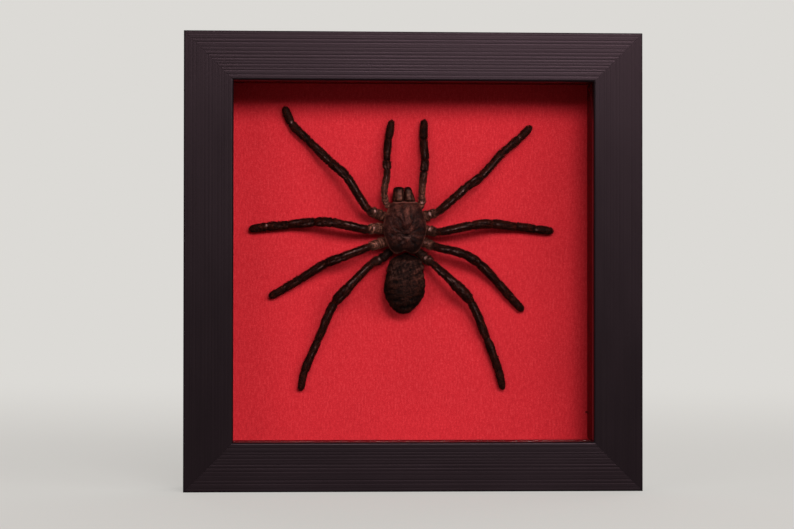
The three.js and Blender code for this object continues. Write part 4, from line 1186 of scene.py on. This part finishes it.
def jaw(name, base_x, tip_x, base_half, tip_half, inner, seed):
    """x = middle + half width * oval, pulled flat on the inner side, and y the same without the pull. Both
    widths close round at the ends."""
    rng = np.random.default_rng(seed)
    w = (0.5 - 0.5 * np.cos(np.linspace(0.02, np.pi - 0.02, JAW_RINGS)))[:, None]
    theta = np.linspace(0, 2 * np.pi, JAW_SIDES, endpoint=False)[None, :]
    swell = np.clip(1 - np.abs(2 * w - 1) ** 9, 0.0, 1) ** 0.5
    across, upward = np.sin(theta), np.cos(theta)
    flatter = np.where(across * inner > 0, 0.42, 0.8)
    squarer = np.sign(across) * np.abs(across) ** flatter
    half = base_half + (tip_half - base_half) * w
    x = base_x + (tip_x - base_x) * w + half * swell * squarer
    y = PANEL_Y - JAW_HEIGHT - JAW_HALF_HEIGHT * swell * upward * (1 - 0.12 * w)
    z = JAW_FROM + (JAW_TO - JAW_FROM) * w + 0 * theta
    grid = np.stack([x, y, z], axis=-1)
    out = np.stack([across + 0 * w, -upward + 0 * w, 0 * w * theta], axis=-1)
    ridges = bumps(rng, grid * [1.6, 1.6, 0.4], 1.6)
    facing = np.clip(across * inner, 0, 1)
    grid = grid + out * ((0.1 * ridges - 0.12) * (1 - facing) + 0.04 * facing)[..., None]
    around = np.angle(np.exp(1j * theta)) * inner
    bare = sum(k * np.exp(-((around - angle - 0.08 * np.sin(5 * w)) / wide) ** 2)
               for angle, wide, k in JAW_STRIPES)
    bare = np.clip(bare * band(w, 0.08, 0.8, 0.06) * (0.7 + 0.4 * bumps(rng, grid, 1.3)), 0, 1)
    # painted light and shade: brown and shade follow the ridges that bulge the surface
    brown = 0.35 * band(w, -1, 0.75, 0.08) * np.clip(0.5 + 0.6 * ridges, 0, 1)
    shade = (0.8 + 0.4 * ridges).clip(0.3, 1.4) * (1 - 0.55 * band(w, 0.82, 1.2, 0.05))
    # painted shade: darker on the sides and the underside
    shade = np.where(np.abs(around) > 1.35, 0.4 * shade, shade)
    zones = np.stack([0 * bare, bare, brown + 0 * bare, 0 * bare, shade + 0 * bare], axis=-1)
    cover = (1 - 0.8 * bare) * (0.5 + 1.5 * band(w, 0.8, 1.2, 0.05) + 0 * theta)
    core = np.array([(base_x + tip_x) / 2, PANEL_Y - JAW_HEIGHT, (JAW_FROM + JAW_TO) / 2])
    hair = coat(rng, grid, zones, cover, JAW_HAIRS, core, length=0.7, width=0.08, lift=0.25, spread=0.3,
                tint=0.6, shades=0.4)
    return haired_piece(name, "chelicera", jaw_skin, grid, zones, hair)


FIRST_JAW_SEED = 300
for k, (name, shape) in enumerate(JAWS.items()):
    made = jaw(name, **shape, seed=FIRST_JAW_SEED + k)
    print(made.name, len(made.data.polygons))

# %% [markdown]
# ## Abdomen
# The soft abdomen shrinks as it dries: it flattens, and its skin folds across and puckers. It is a round
# body turned about z, squeezed front to back, with folds and puckers added along its surface and a coat
# of short hair that points to the tail. The narrow waist that joins it to the front body belongs to the
# same piece.

# %% Abdomen outline
ABDOMEN_X, ABDOMEN_HEIGHT, FLATNESS = -2.3, 7.4, 0.66
ABDOMEN_RINGS, ABDOMEN_SIDES, ABDOMEN_HAIRS = 150, 120, 16000
LEAN, STRAIGHT_AT = 0.045, 90.5  # the tail leans to the left
DROOP, DROOP_FROM, DROOP_TO = 2.6, 95.5, 98.4  # the front end sinks towards the waist
# Half widths against z, tail end first.
ABDOMEN_OUTLINE = [[0, 73.1], [2.7, 73.7], [4.7, 75.3], [6.6, 77.6], [7.95, 80.3], [8.75, 83], [8.8, 85.5],
                   [8.35, 88], [7.95, 90.5], [7.7, 93], [7.3, 94.9], [6.5, 96.2], [5.3, 97], [3.5, 97.8],
                   [2, 98.3], [1.2, 98.8], [0.95, 99.2], [0, 99.3]]


def outline_curve(table, rings):
    """A smooth line through the pairs of a table: straight joins, rounded by a short running mean."""
    table = np.array(table, float)
    step = np.concatenate([[0], np.cumsum(np.linalg.norm(np.diff(table, axis=0), axis=1))])
    fine = np.linspace(0, step[-1], 1601)
    half, z = (np.interp(fine, step, table[:, k]) for k in (0, 1))
    kernel = np.hanning(171)
    kernel /= kernel.sum()
    half = np.convolve(np.concatenate([-half[85:0:-1], half, -half[-2:-87:-1]]), kernel, mode="valid")
    z = np.convolve(np.concatenate([z[85:0:-1], z, z[-2:-87:-1]]), kernel, mode="valid")
    pick = np.linspace(0, step[-1], rings)
    return np.interp(pick, fine, half), np.interp(pick, fine, z)


print("abdomen from z", ABDOMEN_OUTLINE[0][1], "to", ABDOMEN_OUTLINE[-1][1])


# %% Abdomen surface and colours
def abdomen():
    """x = half width * sin and y = flatness * half width * cos, then folds across it and random puckers."""
    rng = np.random.default_rng(41)
    half, z = outline_curve(ABDOMEN_OUTLINE, ABDOMEN_RINGS)
    half = np.clip(half, 0.02, None)
    theta = np.linspace(0, 2 * np.pi, ABDOMEN_SIDES, endpoint=False)
    x = half[:, None] * np.sin(theta)
    y = -FLATNESS * half[:, None] * np.cos(theta)
    zz = np.broadcast_to(z[:, None], x.shape)
    grid = np.stack([x, y, zz], axis=-1)
    out = np.stack([np.sin(theta) + 0 * x, -np.cos(theta) + 0 * x, 0 * x], axis=-1)
    body = band(zz, 74, 96.5, 0.6)
    folds = bumps(rng, grid * [0.3, 0.3, 1.0], 2.1) + 0.6 * bumps(rng, grid, 3.6)
    pucker = bumps(rng, grid, 1.25)
    relief = body * (0.15 * folds + 0.12 * pucker + 0.1 * bumps(rng, grid, 6.0)) - COAT
    grid = grid + out * np.where(half[:, None] > 0.3, relief, 0)[..., None]
    # a shallow trough along the middle of the top
    trough = 0.5 * np.exp(-((x - 0.5) / 1.8) ** 2) * band(zz, 80, 95, 1.2) * (np.cos(theta) > 0)
    grid[..., 1] += trough
    sunk = np.clip((zz - DROOP_FROM) / (DROOP_TO - DROOP_FROM), 0, 1)
    grid = grid + [ABDOMEN_X, PANEL_Y - ABDOMEN_HEIGHT, 0]
    grid[..., 1] += DROOP * sunk**2 * (3 - 2 * sunk)
    grid[..., 0] += LEAN * (zz - STRAIGHT_AT)
    # colours: browner in front, a reddish patch on the right, nearly black towards the tail
    top = np.clip(2 * np.cos(theta), 0, 1)
    upper = band(zz, 87.0, 96.5, 1.5) * top
    patch = np.exp(-((x - 4.6) / 2.2) ** 2 - ((zz - 88.5) / 4.0) ** 2) * top
    waist = band(zz, 98.4, 120, 0.1) * (np.sin(9 * x) > 0)
    pale = np.clip(0.25 * patch * (0.5 + 0.6 * pucker) + 0.8 * waist, 0, 1)
    # painted light and shade: brown and shade rise on the ridges of the folds and puckers and fall in their
    # troughs
    brown = np.clip(0.4 * upper * (0.4 + 0.5 * pucker + 0.3 * folds), 0, 1)
    shade = np.clip(1.08 + 0.55 * folds + 0.35 * pucker, 0.25, 2.4) * (0.72 + 0.35 * band(zz, 82, 96.8, 1.5))
    # painted shade: the front end by the waist is darkened as the shade under the carapace's rear edge
    shade = shade * (1 - 0.75 * band(zz, 96.8, 120, 0.3))
    zones = np.stack([pale, 0 * pale, brown, 0 * pale, shade], axis=-1)
    return grid, zones, body


grid, zones, body = abdomen()
print("abdomen grid", grid.shape)

# %% Abdomen with its hair
inside = np.array([ABDOMEN_X, PANEL_Y - ABDOMEN_HEIGHT, 85.0])
hair = coat(np.random.default_rng(42), grid, zones, 0.1 + body, ABDOMEN_HAIRS, inside, length=0.8,
            width=0.08, lift=0.25, spread=0.4, tint=0.9, shades=0.4, towards=-1)
made = haired_piece("abdomen", "abdomen", abdomen_skin, grid, zones, hair)
print(made.name, len(made.data.polygons))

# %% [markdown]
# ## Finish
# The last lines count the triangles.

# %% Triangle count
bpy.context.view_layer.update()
total = sum(len(p.vertices) - 2 for o in bpy.data.objects if o.type == "MESH" and not o.hide_render
            for p in o.data.polygons)
print("triangles", total)
